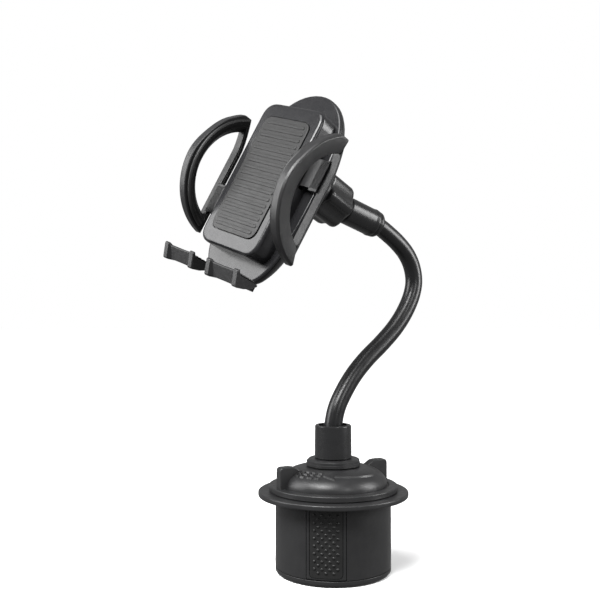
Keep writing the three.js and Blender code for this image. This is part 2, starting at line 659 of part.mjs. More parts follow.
function frontCover() {
  const plate = prism(housingShape(0), SPLIT_Z + GAP, LEDGE_Z);
  const raised = solid(prismGeometry(
    roundedRect(BOX_HALF, BOX_Y[0], BOX_Y[1], 9), SPLIT_Z + GAP, BOX_Z - 1.5, 1.5,
  )).intersect(block(-40, 40, -80, 60, SPLIT_Z + GAP, BOX_Z));
  const inside = prism(roundedRect(
    BOX_HALF - COVER_WALL, BOX_Y[0] + COVER_WALL, BOX_Y[1] - COVER_WALL, 7,
  ), SPLIT_Z - 1, BOX_Z - COVER_WALL);
  let cover = plate.add(raised).subtract(inside);
  const slotZ = [SLIDE_Z[0] - GAP, SLIDE_Z[1] + GAP];
  cover = cover.subtract(block(18, 30, PINION_Y + 4.5, 7, ...slotZ))
    .subtract(block(-30, -18, 2 * PINION_Y - 7, PINION_Y - 4.5, ...slotZ));
  for (const [x, y] of SCREW_SPOTS) {
    cover = cover.add(rod(SCREW_BOSS_R, SPLIT_Z + GAP, BOX_Z - 1, x, y, 10))
      .subtract(rod(1.4, SPLIT_Z - 1, LEDGE_Z - 0.4, x, y, 8));
  }
  const springPost = rod(1, 51, BOX_Z - 1, 9, PINION_Y, 10);
  return cover.add(springPost).subtract(block(-18.5, 18.5, -47, 22, BOX_Z - 0.7, BOX_Z + 1));
}

function frontPad() {
  return prism(roundedRect(18, -46.5, 21.5, 6), BOX_Z - 0.4, PHONE_FRONT - 8);
}

// Rack teeth along x, pointing towards -y from a root line, on a plate's edge.
function rackTeeth(x0, x1, rootY, thickness) {
  const pitch = Math.PI * MODULE;
  const count = Math.floor((x1 - x0) / pitch);
  const teeth = around(count, (i) => {
    const x = x0 + pitch * (i + 0.5);
    return prism([
      [x - 0.85, rootY + 0.3], [x - 0.22, rootY - 1.8], [x + 0.22, rootY - 1.8], [x + 0.85, rootY + 0.3],
    ], thickness[0], thickness[1]);
  });
  return teeth.reduce((all, tooth) => all.add(tooth));
}

// The right arm; the left one is its mirror image, with its rack below the pinion.
function armRing() {
  const ring = turnedAboutX([
    [WINDOW_R + 1.4, ARM_X[1]], [ARM_R - 1.6, ARM_X[1]], [ARM_R - 0.4, ARM_X[1] - 0.7],
    [ARM_R, ARM_X[1] - 2], [ARM_R - 0.3, ARM_X[1] - 3.8], [ARM_R - 1.7, ARM_X[0]],
    [WINDOW_R, ARM_X[0]], [WINDOW_R, ARM_X[1] - 1.4],
  ], ARM_CENTRE, 36);
  const bar = sidePrism([
    [-48.2, ARM_BACK], [ARM_TOP, ARM_BACK], [ARM_TOP, BAR_FRONT], [-48.6, BAR_FRONT],
  ], ARM_X[0], ARM_X[1]);
  return ring.intersect(block(30, 50, -60, ARM_TOP, ARM_BACK, 90)).add(bar);
}

function armPiece(rackBelow) {
  const reach = ARM_X[0] + 0.5;
  const pitchLine = PINION_Y + PITCH_R;
  const rootLine = pitchLine + 1.1;
  let plate = block(-RACK_END, reach, rootLine, 6.4, ...SLIDE_Z)
    .add(block(reach - 6, reach, pitchLine - 0.2, 6.4, ...SLIDE_Z))
    .add(rackTeeth(-RACK_END, 12, rootLine, SLIDE_Z));
  if (rackBelow) {
    plate = plate.rotate([180, 0, 0]).translate([0, 2 * PINION_Y, SLIDE_Z[0] + SLIDE_Z[1]]);
  }
  return armRing().add(plate);
}

function armLining() {
  const [face] = ARM_X;
  const ring = turnedAboutX([
    [WINDOW_R + 0.4, face - GAP], [ARM_R - 1.9, face - GAP], [ARM_R - 1.5, face - 1.6],
    [ARM_R - 2.4, face - 2.5], [ARM_R - 4.2, face - 1.8], [ARM_R - 6.3, face - 0.8],
    [WINDOW_R + 0.4, face - 0.8],
  ], ARM_CENTRE, 36);
  return ring.intersect(block(30, 50, -60, ARM_TOP - 1, BAR_FRONT + 1, 90));
}

function pinionShape() {
  const toothAngle = 2 * Math.PI / PINION_TEETH;
  const outline = [];
  for (let i = 0; i < PINION_TEETH; i += 1) {
    const mid = i * toothAngle;
    const corner = (r, half) => [r * Math.cos(mid + half), r * Math.sin(mid + half)];
    outline.push(corner(PITCH_R - 1.15, -0.19), corner(PITCH_R + 0.7, -0.05));
    outline.push(corner(PITCH_R + 0.7, 0.05), corner(PITCH_R - 1.15, 0.19));
  }
  return outline;
}

// Crown ratchet on the pinion's rear face, which the rocker's tooth holds.
function pinion() {
  const crownTeeth = 8;
  let crown = turned([[2.5, 45.4], [6.4, 45.4], [6.4, 46.7], [2.5, 46.7]], 16);
  for (let i = 0; i < crownTeeth; i += 1) {
    const cut = block(4.2, 8, -0.45, 0.45, 44, 46);
    crown = crown.subtract(cut.rotate([0, 0, 360 * i / crownTeeth]));
  }
  return prism(pinionShape(), SLIDE_Z[0], SLIDE_Z[1])
    .add(crown.add(rod(3.2, 45.4, SLIDE_Z[0] + 0.5, 0, 0, 12)))
    .add(rod(2.6, SLIDE_Z[1] - 0.5, 53.2, 0, 0, 12))
    .subtract(rod(1.5 + GAP, 40, 60, 0, 0, 12));
}

// A flat clock spring round the pinion's hub: it opens the arms.
function clockSpring() {
  const turns = 2.5;
  const steps = 28;
  const strip = 0.25;
  const spiral = (offset) => around(steps + 1, (i) => {
    const t = i / steps;
    const r = 3.2 + 4.3 * t + offset;
    const turn = 2 * Math.PI * turns * t;
    return [r * Math.cos(turn), r * Math.sin(turn)];
  });
  return prism([...spiral(strip), ...spiral(-strip).reverse()], 50.9, 53);
}

function rocker() {
  const bar = block(-2.6, 2.6, -7.6, BUTTON_Y + 3, 42.1, 44.3)
    .add(block(-3.7, 3.7, ROCKER_Y - 2.4, ROCKER_Y + 2.4, 41.6, 45.2));
  return bar.add(block(-0.9, 0.9, -9.4, -6, 42.3, 45)).subtract(crossRod(1 + GAP, 10));
}

// A pin along x through the rocker's pivot.
function crossRod(radius, halfLength) {
  const geometry = new THREE.CylinderGeometry(radius, radius, 2 * halfLength, 12);
  return solid(geometry.rotateZ(Math.PI / 2).translate(0, ROCKER_Y, 43.5));
}

function releaseButton() {
  return turned([
    [0, BACK_Z - 1.4], [4.9, BACK_Z - 1.4], [5.7, BACK_Z - 0.7], [5.9, BACK_Z + 0.4],
    [5.9, 31.4], [7.4, 31.4], [7.4, 32.4], [2, 32.4], [2, 41.7], [0, 41.7],
  ], 16).translate([0, BUTTON_Y, 0]);
}

function coilSpring(radius, wire, z0, z1, turns) {
  class Helix extends THREE.Curve {
    getPoint(t, target = new THREE.Vector3()) {
      const turn = 2 * Math.PI * turns * t;
      return target.set(radius * Math.cos(turn), radius * Math.sin(turn), z0 + (z1 - z0) * t);
    }
  }
  const section = around(4, (i) => {
    const turn = 2 * Math.PI * i / 4;
    return new THREE.Vector2(wire * Math.cos(turn), wire * Math.sin(turn));
  });
  return solid(new THREE.ExtrudeGeometry(new THREE.Shape(section), {
    steps: turns * 7, extrudePath: new Helix(),
  }));
}

function footPiece() {
  const outline = [                 // [y, z], from the heel along the shelf and round the lip
    [-67.3, 51.4], [-66.3, 51.4], [-66.3, 64.4], [-65.2, 65.6], [-64.2, 66.4], [-64.2, 67.1],
    [-65, 67.7], [-72.4, 64.5], [-72.7, 63.4], [-71.5, 58.5], [-69.4, 54],
  ];
  const [x0, x1] = FOOT_SLOT.x;
  const [z0, z1] = FOOT_SLOT.z;
  const stemY = [-69, -66.9];
  const shelf = sidePrism(outline, FOOT_X[0], FOOT_X[1]);
  return shelf.add(block(x0, x1, ...stemY, z0, 56)).add(block(x0, x1, stemY[0], -46, z0, z1));
}

function footPad() {
  return block(FOOT_X[0] + 1.5, FOOT_X[1] - 1.5, -66, -65, 52.5, 63.5);
}

place(cradle, 'ball_friction_ring', ballRing(BALL_R + GAP, BALL_R + 0.9, 35, 84), acetal);
place(cradle, 'ball_seat_ring', ballRing(BALL_R + 1.2, BALL_R + 1.8, 35, 84), acetal);
place(cradle, 'ball_lock_nut', ballLockNut(), satin);
place(cradle, 'back_housing', backHousing(), satin);
place(cradle, 'front_cover', frontCover(), ledge);
place(cradle, 'front_pad', frontPad(), rubber);
SCREW_SPOTS.forEach(([x, y], i) => {
  place(cradle, `housing_screw_${i + 1}`,
    screw(1.1, 2.6, BACK_Z + 0.1, BACK_Z + 1.7, LEDGE_Z - 0.8, x, y), steel);
});
place(cradle, 'right_arm', armPiece(false), satin);
place(cradle, 'right_arm_lining', armLining(), rubber);
place(cradle, 'left_arm', armPiece(true), satin, true);
place(cradle, 'left_arm_lining', armLining(), rubber, true);
const pinionAxis = childGroup(cradle);
pinionAxis.position.set(0, PINION_Y, 0);
place(pinionAxis, 'arm_pinion', pinion(), acetal);
place(pinionAxis, 'pinion_pin', rod(1.5, 32.3, 54, 0, 0, 12), steel);
place(pinionAxis, 'arm_opening_spring', clockSpring(), steel);
place(cradle, 'release_rocker', rocker(), acetal);
place(cradle, 'rocker_pin', crossRod(1, 6), steel);
place(cradle, 'release_button', releaseButton(), satin);
const buttonAxis = childGroup(cradle);
buttonAxis.position.set(0, BUTTON_Y, 0);
place(buttonAxis, 'release_spring', coilSpring(3, 0.3, 33.2, 38.6, 4), steel);
place(cradle, 'right_foot', footPiece(), satin);
place(cradle, 'right_foot_pad', footPad(), rubber);
place(cradle, 'left_foot', footPiece(), satin, true);
place(cradle, 'left_foot_pad', footPad(), rubber, true);

export default mount;
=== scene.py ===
"""The looks of a cup-holder phone mount: its visible pieces, materials, light and camera.

Builders work in millimetres in a local frame (the row frame, the ball sleeve's or the
cradle's) and piece() turns them into metres in the row frame.
"""
import json
import math

import bmesh
import bpy
from mathutils import Matrix, Vector


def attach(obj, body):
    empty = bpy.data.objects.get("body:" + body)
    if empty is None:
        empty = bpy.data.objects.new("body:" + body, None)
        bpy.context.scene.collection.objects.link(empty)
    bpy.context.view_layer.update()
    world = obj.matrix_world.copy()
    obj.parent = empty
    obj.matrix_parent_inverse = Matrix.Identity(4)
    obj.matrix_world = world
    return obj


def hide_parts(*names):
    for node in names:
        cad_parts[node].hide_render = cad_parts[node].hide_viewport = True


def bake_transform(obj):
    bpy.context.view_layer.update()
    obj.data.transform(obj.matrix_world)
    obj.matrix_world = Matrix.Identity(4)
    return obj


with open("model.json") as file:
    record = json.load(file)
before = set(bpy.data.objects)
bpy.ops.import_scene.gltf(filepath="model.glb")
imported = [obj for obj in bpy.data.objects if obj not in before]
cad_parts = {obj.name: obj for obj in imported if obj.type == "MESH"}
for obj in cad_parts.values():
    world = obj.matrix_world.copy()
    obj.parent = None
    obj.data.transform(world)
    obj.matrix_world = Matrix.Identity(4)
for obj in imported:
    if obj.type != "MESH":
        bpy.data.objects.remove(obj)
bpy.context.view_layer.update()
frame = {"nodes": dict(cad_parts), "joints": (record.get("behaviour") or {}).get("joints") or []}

MM = 0.001
DEG = math.pi / 180
GAP = 0.3                           # clearance between neighbouring pieces
SHARP = 33 * DEG                    # edges steeper than this stay crisp
NODES = frame["nodes"]
JOINTS = {joint["name"]: joint for joint in frame["joints"]}


# ---- local frames and sizes
def axes_frame(x, y, z, origin):
    matrix = Matrix((x, y, z)).transposed().to_4x4()
    matrix.translation = origin
    return matrix


def local_points(node, where):
    inverse = where.inverted()
    return [inverse @ vertex.co / MM for vertex in NODES[node].data.vertices]


def extent(node, where, axis):
    values = [point[axis] for point in local_points(node, where)]
    return min(values), max(values)


def reach(node, where=Matrix.Identity(4)):
    """The node's largest distance from the local z axis, in millimetres."""
    return max(math.hypot(point.x, point.y) for point in local_points(node, where))


ROW = Matrix.Identity(4)
BALL = Vector(JOINTS["ball_spin"]["pos_m"])
RIGHT = Vector(JOINTS["arm_slide"]["axis"])
UP = -Vector(JOINTS["right_foot_slide"]["axis"])
OUT = Vector(JOINTS["ball_spin"]["axis"])
CRADLE = axes_frame(RIGHT, UP, OUT, BALL)

sleeve_points = [vertex.co for vertex in NODES["upper_sleeve"].data.vertices]
sleeve_middle = sum(sleeve_points, Vector()) / len(sleeve_points)
SLEEVE_AXIS = (sleeve_middle - BALL).normalized()
ROW_X = Vector((1, 0, 0))
SLEEVE = axes_frame(ROW_X, SLEEVE_AXIS.cross(ROW_X), SLEEVE_AXIS, BALL)

# Base and dial.
BASE_R = reach("base_bottom_plate")
PLATE_TOP = 3.7                     # the top of the bottom plate
DECK_Z = extent("grip_jaw_1", ROW, 2)[1] + GAP
FLANGE_R = reach("base_shell")
FLANGE_TOP = extent("base_shell", ROW, 2)[1]
SHELL_WALL = 2.4
JAW_AXES = [Vector(JOINTS[f"jaw_{i}_slide"]["axis"]) for i in (1, 2, 3)]
JAW_ANGLES = [math.atan2(axis.y, axis.x) for axis in JAW_AXES]
JAW_HALF = 10.75                    # half the width of a jaw, and of its pad
PAD_HALF = 9
DIAL_Z = extent("dial_cap", ROW, 2)
RIM_TOP = 49.7                      # the flat rim round the dial's dome
DOME_R = 30.8
DOME_TOP = 60
COLLAR_R = 15
POST_R = 7.3
EAR_AZIMUTH = -98.5 * DEG
EAR_TOP = DIAL_Z[1]
EAR_R = 34.7
EAR_HALF = 2.9

# Gooseneck: the tube's radius and its centreline's route in the [y, z] plane.
TUBE_R = 5.2
NECK_ROUTE = [
    (0, 67), (0, 76), (0.3, 84), (2.7, 93), (8.3, 102.6), (15.6, 111.8), (24.8, 120.4),
    (36, 129), (47, 138.6), (55.6, 149.2), (60.9, 159.5), (62.3, 167.4), (60.4, 176.2),
    (55.8, 183.6), (49, 189.8), (41.6, 194.8), (33.3, 199.4), (17, 204.7),
]

# Cradle.
BACK_Z = 29                         # the rear face
SPLIT_Z = 42.5                      # where the rear and front shells meet
LEDGE_Z = 44.5                      # the front cover's rim, and the face of its block
BOX_Z = 56
BOX_HALF = 24
BOX_Y = (-55, 30)
PAD_FACE_Z = extent("front_pad", CRADLE, 2)[1]
SLIDE_Z = (47, 50)
PINION_Y = -16
PITCH_R = 5
ARM_X = (36.3, 42)
ARM_CENTRE = (-14.1, 38.4)
ARM_R = 37
ARM_TOP = 19.7                      # where the arm's arc is cut off square
WINDOW_R = 28
ARM_BACK = 45.6                     # the back and front of the arm's straight bar
BAR_FRONT = 49.5
FOOT_X = (5.6, 32)
BUTTON_Y = 24
BUTTON_DISH_R = 7.3
SCREW_SPOTS = [(13.5, 16), (-13.5, 16), (13.5, -42.4), (-13.5, -42.4)]
TONGUE_X = (7, 17)                  # the tongue each foot slides on
TONGUE_Z = (38.6, 41.6)


# ---- materials
DRIFT_SCALE = 70                    # the colour's slow drift, in cells per metre
GLOSS_SCALE = 260                   # the gloss's finer one
GRAIN_DEPTH = 0.0001
SPECULAR = 0.33


def moulded(name, dark, light, roughness, grain, grain_size):
    """A moulded surface: slow colour drift, uneven gloss and a fine grain in the bump.

    dark and light are its colours, grain is the bump's strength and grain_size is in metres.
    """
    material = bpy.data.materials.new(name)
    material.use_nodes = True
    tree = material.node_tree
    shader = tree.nodes["Principled BSDF"]
    place = tree.nodes.new("ShaderNodeTexCoord")

    def noise(scale, detail=4.0):
        node = tree.nodes.new("ShaderNodeTexNoise")
        node.inputs["Scale"].default_value = scale
        node.inputs["Detail"].default_value = detail
        tree.links.new(place.outputs["Object"], node.inputs["Vector"])
        return node.outputs["Fac"]

    ramp = tree.nodes.new("ShaderNodeValToRGB")
    ramp.color_ramp.elements[0].position = 0.35
    ramp.color_ramp.elements[0].color = (*dark, 1)
    ramp.color_ramp.elements[1].position = 0.65
    ramp.color_ramp.elements[1].color = (*light, 1)
    tree.links.new(noise(DRIFT_SCALE), ramp.inputs["Fac"])
    tree.links.new(ramp.outputs["Color"], shader.inputs["Base Color"])

    gloss = tree.nodes.new("ShaderNodeMapRange")
    gloss.inputs["From Min"].default_value = 0.3
    gloss.inputs["From Max"].default_value = 0.7
    gloss.inputs["To Min"].default_value = 0.88 * roughness
    gloss.inputs["To Max"].default_value = 1.12 * roughness
    tree.links.new(noise(GLOSS_SCALE), gloss.inputs["Value"])
    tree.links.new(gloss.outputs["Result"], shader.inputs["Roughness"])

    bump = tree.nodes.new("ShaderNodeBump")
    bump.inputs["Strength"].default_value = grain
    bump.inputs["Distance"].default_value = GRAIN_DEPTH
    tree.links.new(noise(1 / grain_size, 3.0), bump.inputs["Height"])
    tree.links.new(bump.outputs["Normal"], shader.inputs["Normal"])
    shader.inputs["Specular IOR Level"].default_value = SPECULAR
    return material


def brushed_steel(name):
    material = moulded(name, (0.34, 0.34, 0.35), (0.46, 0.46, 0.47),
                       roughness=0.3, grain=0.15, grain_size=0.0004)
    material.node_tree.nodes["Principled BSDF"].inputs["Metallic"].default_value = 1.0
    return material


SATIN = moulded("satin_plastic", (0.0125, 0.0125, 0.013), (0.015, 0.015, 0.0155),
                roughness=0.37, grain=0.55, grain_size=0.0004)
SMOOTH = moulded("smooth_plastic", (0.011, 0.011, 0.0115), (0.0125, 0.0125, 0.013),
                 roughness=0.28, grain=0.05, grain_size=0.0005)
POLISHED = moulded("polished_plastic", (0.012, 0.012, 0.013), (0.015, 0.015, 0.016),
                   roughness=0.22, grain=0.08, grain_size=0.0006)
NECK_SKIN = moulded("neck_rubber", (0.0065, 0.0065, 0.007), (0.008, 0.008, 0.0085),
                    roughness=0.3, grain=0.02, grain_size=0.0006)
RUBBER = moulded("soft_rubber", (0.008, 0.008, 0.008), (0.011, 0.011, 0.011),
                 roughness=0.42, grain=0.3, grain_size=0.0003)
STEEL = brushed_steel("steel")
ACETAL = moulded("acetal", (0.66, 0.64, 0.59), (0.74, 0.72, 0.68),
                 roughness=0.42, grain=0.15, grain_size=0.0005)


# ---- shape helpers
def rounded(outline, radius, closed=True, steps=4):
    """The outline with its corners rounded by radius, one number or one for each point."""
    count = len(outline)
    radii = radius if isinstance(radius, (list, tuple)) else [radius] * count
    result = []
    for i, corner in enumerate(outline):
        ends = not closed and i in (0, count - 1)
        if ends or radii[i] <= 0:
            result.append(tuple(corner))
            continue
        here = Vector(corner)
        back = Vector(outline[i - 1]) - here
        ahead = Vector(outline[(i + 1) % count]) - here
        half_angle = back.angle(ahead) / 2
        along = min(radii[i] / math.tan(half_angle), 0.46 * back.length, 0.46 * ahead.length)
        start = here + back.normalized() * along
        end = here + ahead.normalized() * along
        for k in range(steps + 1):
            t = k / steps
            result.append(tuple((1 - t) ** 2 * start + 2 * t * (1 - t) * here + t * t * end))
    return result


def lathe(bm, outline, sides=96):
    """A closed solid turned about z. A radius is a number or a function of the angle."""
    rings = []
    for radius, z in outline:
        if not callable(radius) and radius < 1e-6:
            rings.append([bm.verts.new((0, 0, z))])
            continue
        ring = []
        for i in range(sides):
            turn = 2 * math.pi * i / sides
            r = radius(turn) if callable(radius) else radius
            ring.append(bm.verts.new((r * math.cos(turn), r * math.sin(turn), z)))
        rings.append(ring)
    whole = len(rings[0]) > 1 or len(rings[-1]) > 1
    pairs = list(zip(rings, rings[1:] + rings[:1])) if whole else list(zip(rings, rings[1:]))
    for a, b in pairs:
        for i in range(sides):
            j = (i + 1) % sides
            if len(a) > 1 and len(b) > 1:
                bm.faces.new((a[i], b[i], b[j], a[j]))
            elif len(a) > 1:
                bm.faces.new((a[i], b[0], a[j]))
            elif len(b) > 1:
                bm.faces.new((a[0], b[i], b[j]))
    return bm


def loft(bm, rings, capped=True):
    """A skin over rings of points; the first and last are capped, or joined to each other."""
    loops = [[bm.verts.new(point) for point in ring] for ring in rings]
    count = len(loops[0])
    pairs = list(zip(loops, loops[1:])) if capped else list(zip(loops, loops[1:] + loops[:1]))
    for a, b in pairs:
        for i in range(count):
            j = (i + 1) % count
            bm.faces.new((a[i], a[j], b[j], b[i]))
    if capped:
        bm.faces.new(list(reversed(loops[0])))
        bm.faces.new(loops[-1])
    return bm


def inset(outline, amount):
    """The closed outline moved inwards along its corners' normals."""
    area = sum(a[0] * b[1] - b[0] * a[1] for a, b in zip(outline, outline[1:] + outline[:1]))
    side = 1 if area > 0 else -1
    moved = []
    count = len(outline)
    for i in range(count):
        here = Vector(outline[i])
        before = (here - Vector(outline[i - 1])).normalized()
        after = (Vector(outline[(i + 1) % count]) - here).normalized()
        tangent = (before + after).normalized()
        moved.append(tuple(here + side * amount * Vector((-tangent.y, tangent.x))))
    return moved


def slab(bm, outline, low, high, edge=0.5, to_point=None, steps=3):
    """A plate with rounded edges over a closed outline; to_point maps (u, v, w) to x, y, z."""
    to_point = to_point or (lambda u, v, w: (u, v, w))
    levels = []
    for k in range(steps + 1):
        turn = (k / steps) * math.pi / 2
        levels.append((edge * (1 - math.sin(turn)), low + edge * (1 - math.cos(turn))))
    levels += [(shrink, low + high - w) for shrink, w in reversed(levels)]
    if edge <= 0:
        levels = [(0, low), (0, high)]
    rings = []
    for shrink, w in levels:
        ring = inset(outline, shrink) if shrink > 0 else outline
        rings.append([to_point(u, v, w) for u, v in ring])
    return loft(bm, rings)


def sideways(y, z, x):
    """Maps an outline in the [y, z] plane, extruded along x."""
    return (x, y, z)


def upright(x, z, y):
    """Maps an outline in the [x, z] plane, extruded along y."""
    return (x, y, z)


def box(bm, x, y, z, edge=0.3):
    corners = [(x[0], y[0]), (x[1], y[0]), (x[1], y[1]), (x[0], y[1])]
    return slab(bm, corners, z[0], z[1], min(edge, 0.3 * (z[1] - z[0])), steps=2)


def rod(bm, radius, low, high, x=0.0, y=0.0, sides=32, edge=0.2):
    ring = [(x + radius * math.cos(t), y + radius * math.sin(t))
            for t in (2 * math.pi * i / sides for i in range(sides))]
    return slab(bm, ring, low, high, edge, steps=2)


def round_rect(half, low, high, radius, steps=8):
    corners = [(-half, low), (half, low), (half, high), (-half, high)]
    return rounded(corners, radius, steps=steps)


def turn_about_z(bm, angle):
    bmesh.ops.rotate(bm, verts=bm.verts, cent=(0, 0, 0), matrix=Matrix.Rotation(angle, 3, "Z"))
    return bm


def shifted(bm, offset):
    bmesh.ops.translate(bm, verts=bm.verts, vec=offset)
    return bm


def added(name, data):
    obj = bpy.data.objects.new(name, data)
    bpy.context.scene.collection.objects.link(obj)
    return obj


def temporary(bm):
    bmesh.ops.recalc_face_normals(bm, faces=bm.faces)
    mesh = bpy.data.meshes.new("temporary")
    bm.to_mesh(mesh)
    bm.free()
    return added("temporary", mesh)


def combined(bm, tool, operation="DIFFERENCE"):
    """bm with tool cut from it or joined to it. Both are used up."""
    body, knife = temporary(bm), temporary(tool)
    modifier = body.modifiers.new("combine", "BOOLEAN")
    modifier.operation = operation
    modifier.solver = "EXACT"
    modifier.object = knife
    evaluated = body.evaluated_get(bpy.context.evaluated_depsgraph_get())
    result = bmesh.new()
    result.from_mesh(evaluated.to_mesh())
    evaluated.to_mesh_clear()
    for obj in (body, knife):
        mesh = obj.data
        bpy.data.objects.remove(obj)
        bpy.data.meshes.remove(mesh)
    bmesh.ops.remove_doubles(result, verts=result.verts, dist=1e-4)
    return result


def flatten_shading(obj):
    """Shading normals that follow the large faces, so flats stay flat beside rounded edges."""
    modifier = obj.modifiers.new("weighted", "WEIGHTED_NORMAL")
    modifier.keep_sharp = True
    evaluated = obj.evaluated_get(bpy.context.evaluated_depsgraph_get())
    flat = bpy.data.meshes.new_from_object(evaluated)
    old, name = obj.data, obj.data.name
    obj.modifiers.clear()
    obj.data = flat
    bpy.data.meshes.remove(old)
    flat.name = name


def piece(name, bm, where, body, material, replaces=(), mirrored=False, sharp=SHARP):
    """The bmesh as an object in metres, riding on a body and standing for CAD nodes."""
    if mirrored:
        for vertex in bm.verts:
            vertex.co.x = -vertex.co.x
    bmesh.ops.recalc_face_normals(bm, faces=bm.faces)
    mesh = bpy.data.meshes.new(name)
    bm.to_mesh(mesh)
    bm.free()
    mesh.transform(where @ Matrix.Scale(MM, 4))
    mesh.shade_smooth()
    mesh.set_sharp_from_angle(angle=sharp)
    mesh.materials.append(material)
    obj = added(name, mesh)
    flatten_shading(obj)
    if body:
        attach(obj, body)
    if replaces:
        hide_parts(*replaces)
    return obj


def cylinder_point(angle, radius, z):
    return (radius * math.cos(angle), radius * math.sin(angle), z)


def skin_over(bm, rows):
    """A closed skin over rows of four vertices each."""
    for a, b in zip(rows, rows[1:]):
        for k in range(4):
            j = (k + 1) % 4
            bm.faces.new((a[k], b[k], b[j], a[j]))
    bm.faces.new(rows[0])
    bm.faces.new(list(reversed(rows[-1])))
    return bm


def curved_strip(bm, columns, inner, outer):
    """A closed solid on a surface of revolution.

    columns are (angle, low, high); inner and outer map (angle, height) to a point.
    """
    rows = []
    for angle, low, high in columns:
        corners = ((outer, low), (outer, high), (inner, high), (inner, low))
        rows.append([bm.verts.new(surface(angle, height)) for surface, height in corners])
    return skin_over(bm, rows)


def plate_columns(half, low, high, corner, radius, count=16):
    """Columns of a plate on a cylinder, half as wide as its chord, its lower corners round."""
    flat = half - corner
    offsets = [flat * (2 * i / count - 1) for i in range(count + 1)]
    arc = [flat + corner * math.sin(t * math.pi / 2) for t in (0.25, 0.5, 0.75, 0.93, 1)]
    offsets = [-value for value in reversed(arc)] + offsets + arc
    columns = []
    for offset in offsets:
        over = max(0.0, abs(offset) - flat)
        drop = corner - math.sqrt(max(0.0, corner ** 2 - over ** 2))
        columns.append((math.asin(offset / radius), low + drop, high))
    return columns


# ---- base
SCREW_RING = 26.6
SCREW_ANGLES = [angle + math.pi / 3 for angle in JAW_ANGLES]
WINDOW_HALF = JAW_HALF + GAP


def base_shell():
    bm = bmesh.new()
    inner = BASE_R - SHELL_WALL
    outer_start = math.asin(WINDOW_HALF / BASE_R)
    inner_start = math.asin(WINDOW_HALF / inner)
    sweep = 2 * math.pi / 3
    edge, steps = 0.25, 36
    for angle in JAW_ANGLES:
        outline = []
        for i in range(steps + 1):
            turn = angle + outer_start + (sweep - 2 * outer_start) * i / steps
            outline.append((BASE_R * math.cos(turn), BASE_R * math.sin(turn)))
        for i in range(steps + 1):
            turn = angle + sweep - inner_start - (sweep - 2 * inner_start) * i / steps
            outline.append((inner * math.cos(turn), inner * math.sin(turn)))
        slab(bm, outline, PLATE_TOP + GAP, DECK_Z + 0.2, edge, steps=2)
    deck_hole = 12.6
    screw_post_r, screw_post_top = 3.4, 34.5
    flange = rounded([
        (deck_hole, DECK_Z), (FLANGE_R, DECK_Z), (FLANGE_R, FLANGE_TOP), (deck_hole, FLANGE_TOP),
    ], [0, 0.9, 0.9, 0])
    lathe(bm, flange, 144)
    for angle in SCREW_ANGLES:
        x, y, _ = cylinder_point(angle, SCREW_RING, 0)
        rod(bm, screw_post_r, PLATE_TOP + GAP, screw_post_top, x, y)
    return piece("base_barrel", bm, ROW, "base", SATIN, ["base_shell"])


def bottom_plate():
    pad_r, pad_top = reach("base_centre_pad"), extent("base_centre_pad", ROW, 2)[1]
    outline = rounded([
        (0, pad_top + GAP), (pad_r + GAP, pad_top + GAP), (pad_r + GAP, 0), (22, 0), (22.5, 0.4),
        (23.3, 0.4), (23.8, 0), (BASE_R - 1.4, 0), (BASE_R, 1.6), (BASE_R, PLATE_TOP),
        (0, PLATE_TOP),
    ], [0, 0, 0.2, 0.1, 0.1, 0.1, 0.1, 0.8, 1, 0.3, 0])
    bm = lathe(bmesh.new(), outline, 120)
    holes = bmesh.new()
    screw_r, head_r, head_seat = 1.5, 3, 2.4
    for angle in SCREW_ANGLES:
        x, y, _ = cylinder_point(angle, SCREW_RING, 0)
        rod(holes, screw_r, -1, PLATE_TOP + 1, x, y, edge=0)
        rod(holes, head_r, -1.3, head_seat, x, y, edge=0)
    post_screw_r, post_head_r, post_head_seat = 1.8, 4, 2.7
    rod(holes, post_screw_r, -1.6, PLATE_TOP + 1.3, edge=0)
    rod(holes, post_head_r, -1.9, post_head_seat, edge=0)
    bm = combined(bm, holes)
    rail_reach, rail_inner, rail_outer, rail_z = (9.5, 28.3), 6.6, 8.2, (3.4, 8)
    for angle in JAW_ANGLES:
        for side in (-1, 1):
            across = sorted((side * rail_inner, side * rail_outer))
            add_to(bm, turn_about_z(box(bmesh.new(), rail_reach, across, rail_z), angle))
    return piece("base_plate", bm, ROW, "base", SATIN, ["base_bottom_plate"])


def add_to(bm, other):
    """other's geometry copied into bm; other is used up."""
    mesh = bpy.data.meshes.new("part")
    other.to_mesh(mesh)
    other.free()
    bm.from_mesh(mesh)
    bpy.data.meshes.remove(mesh)
    return bm


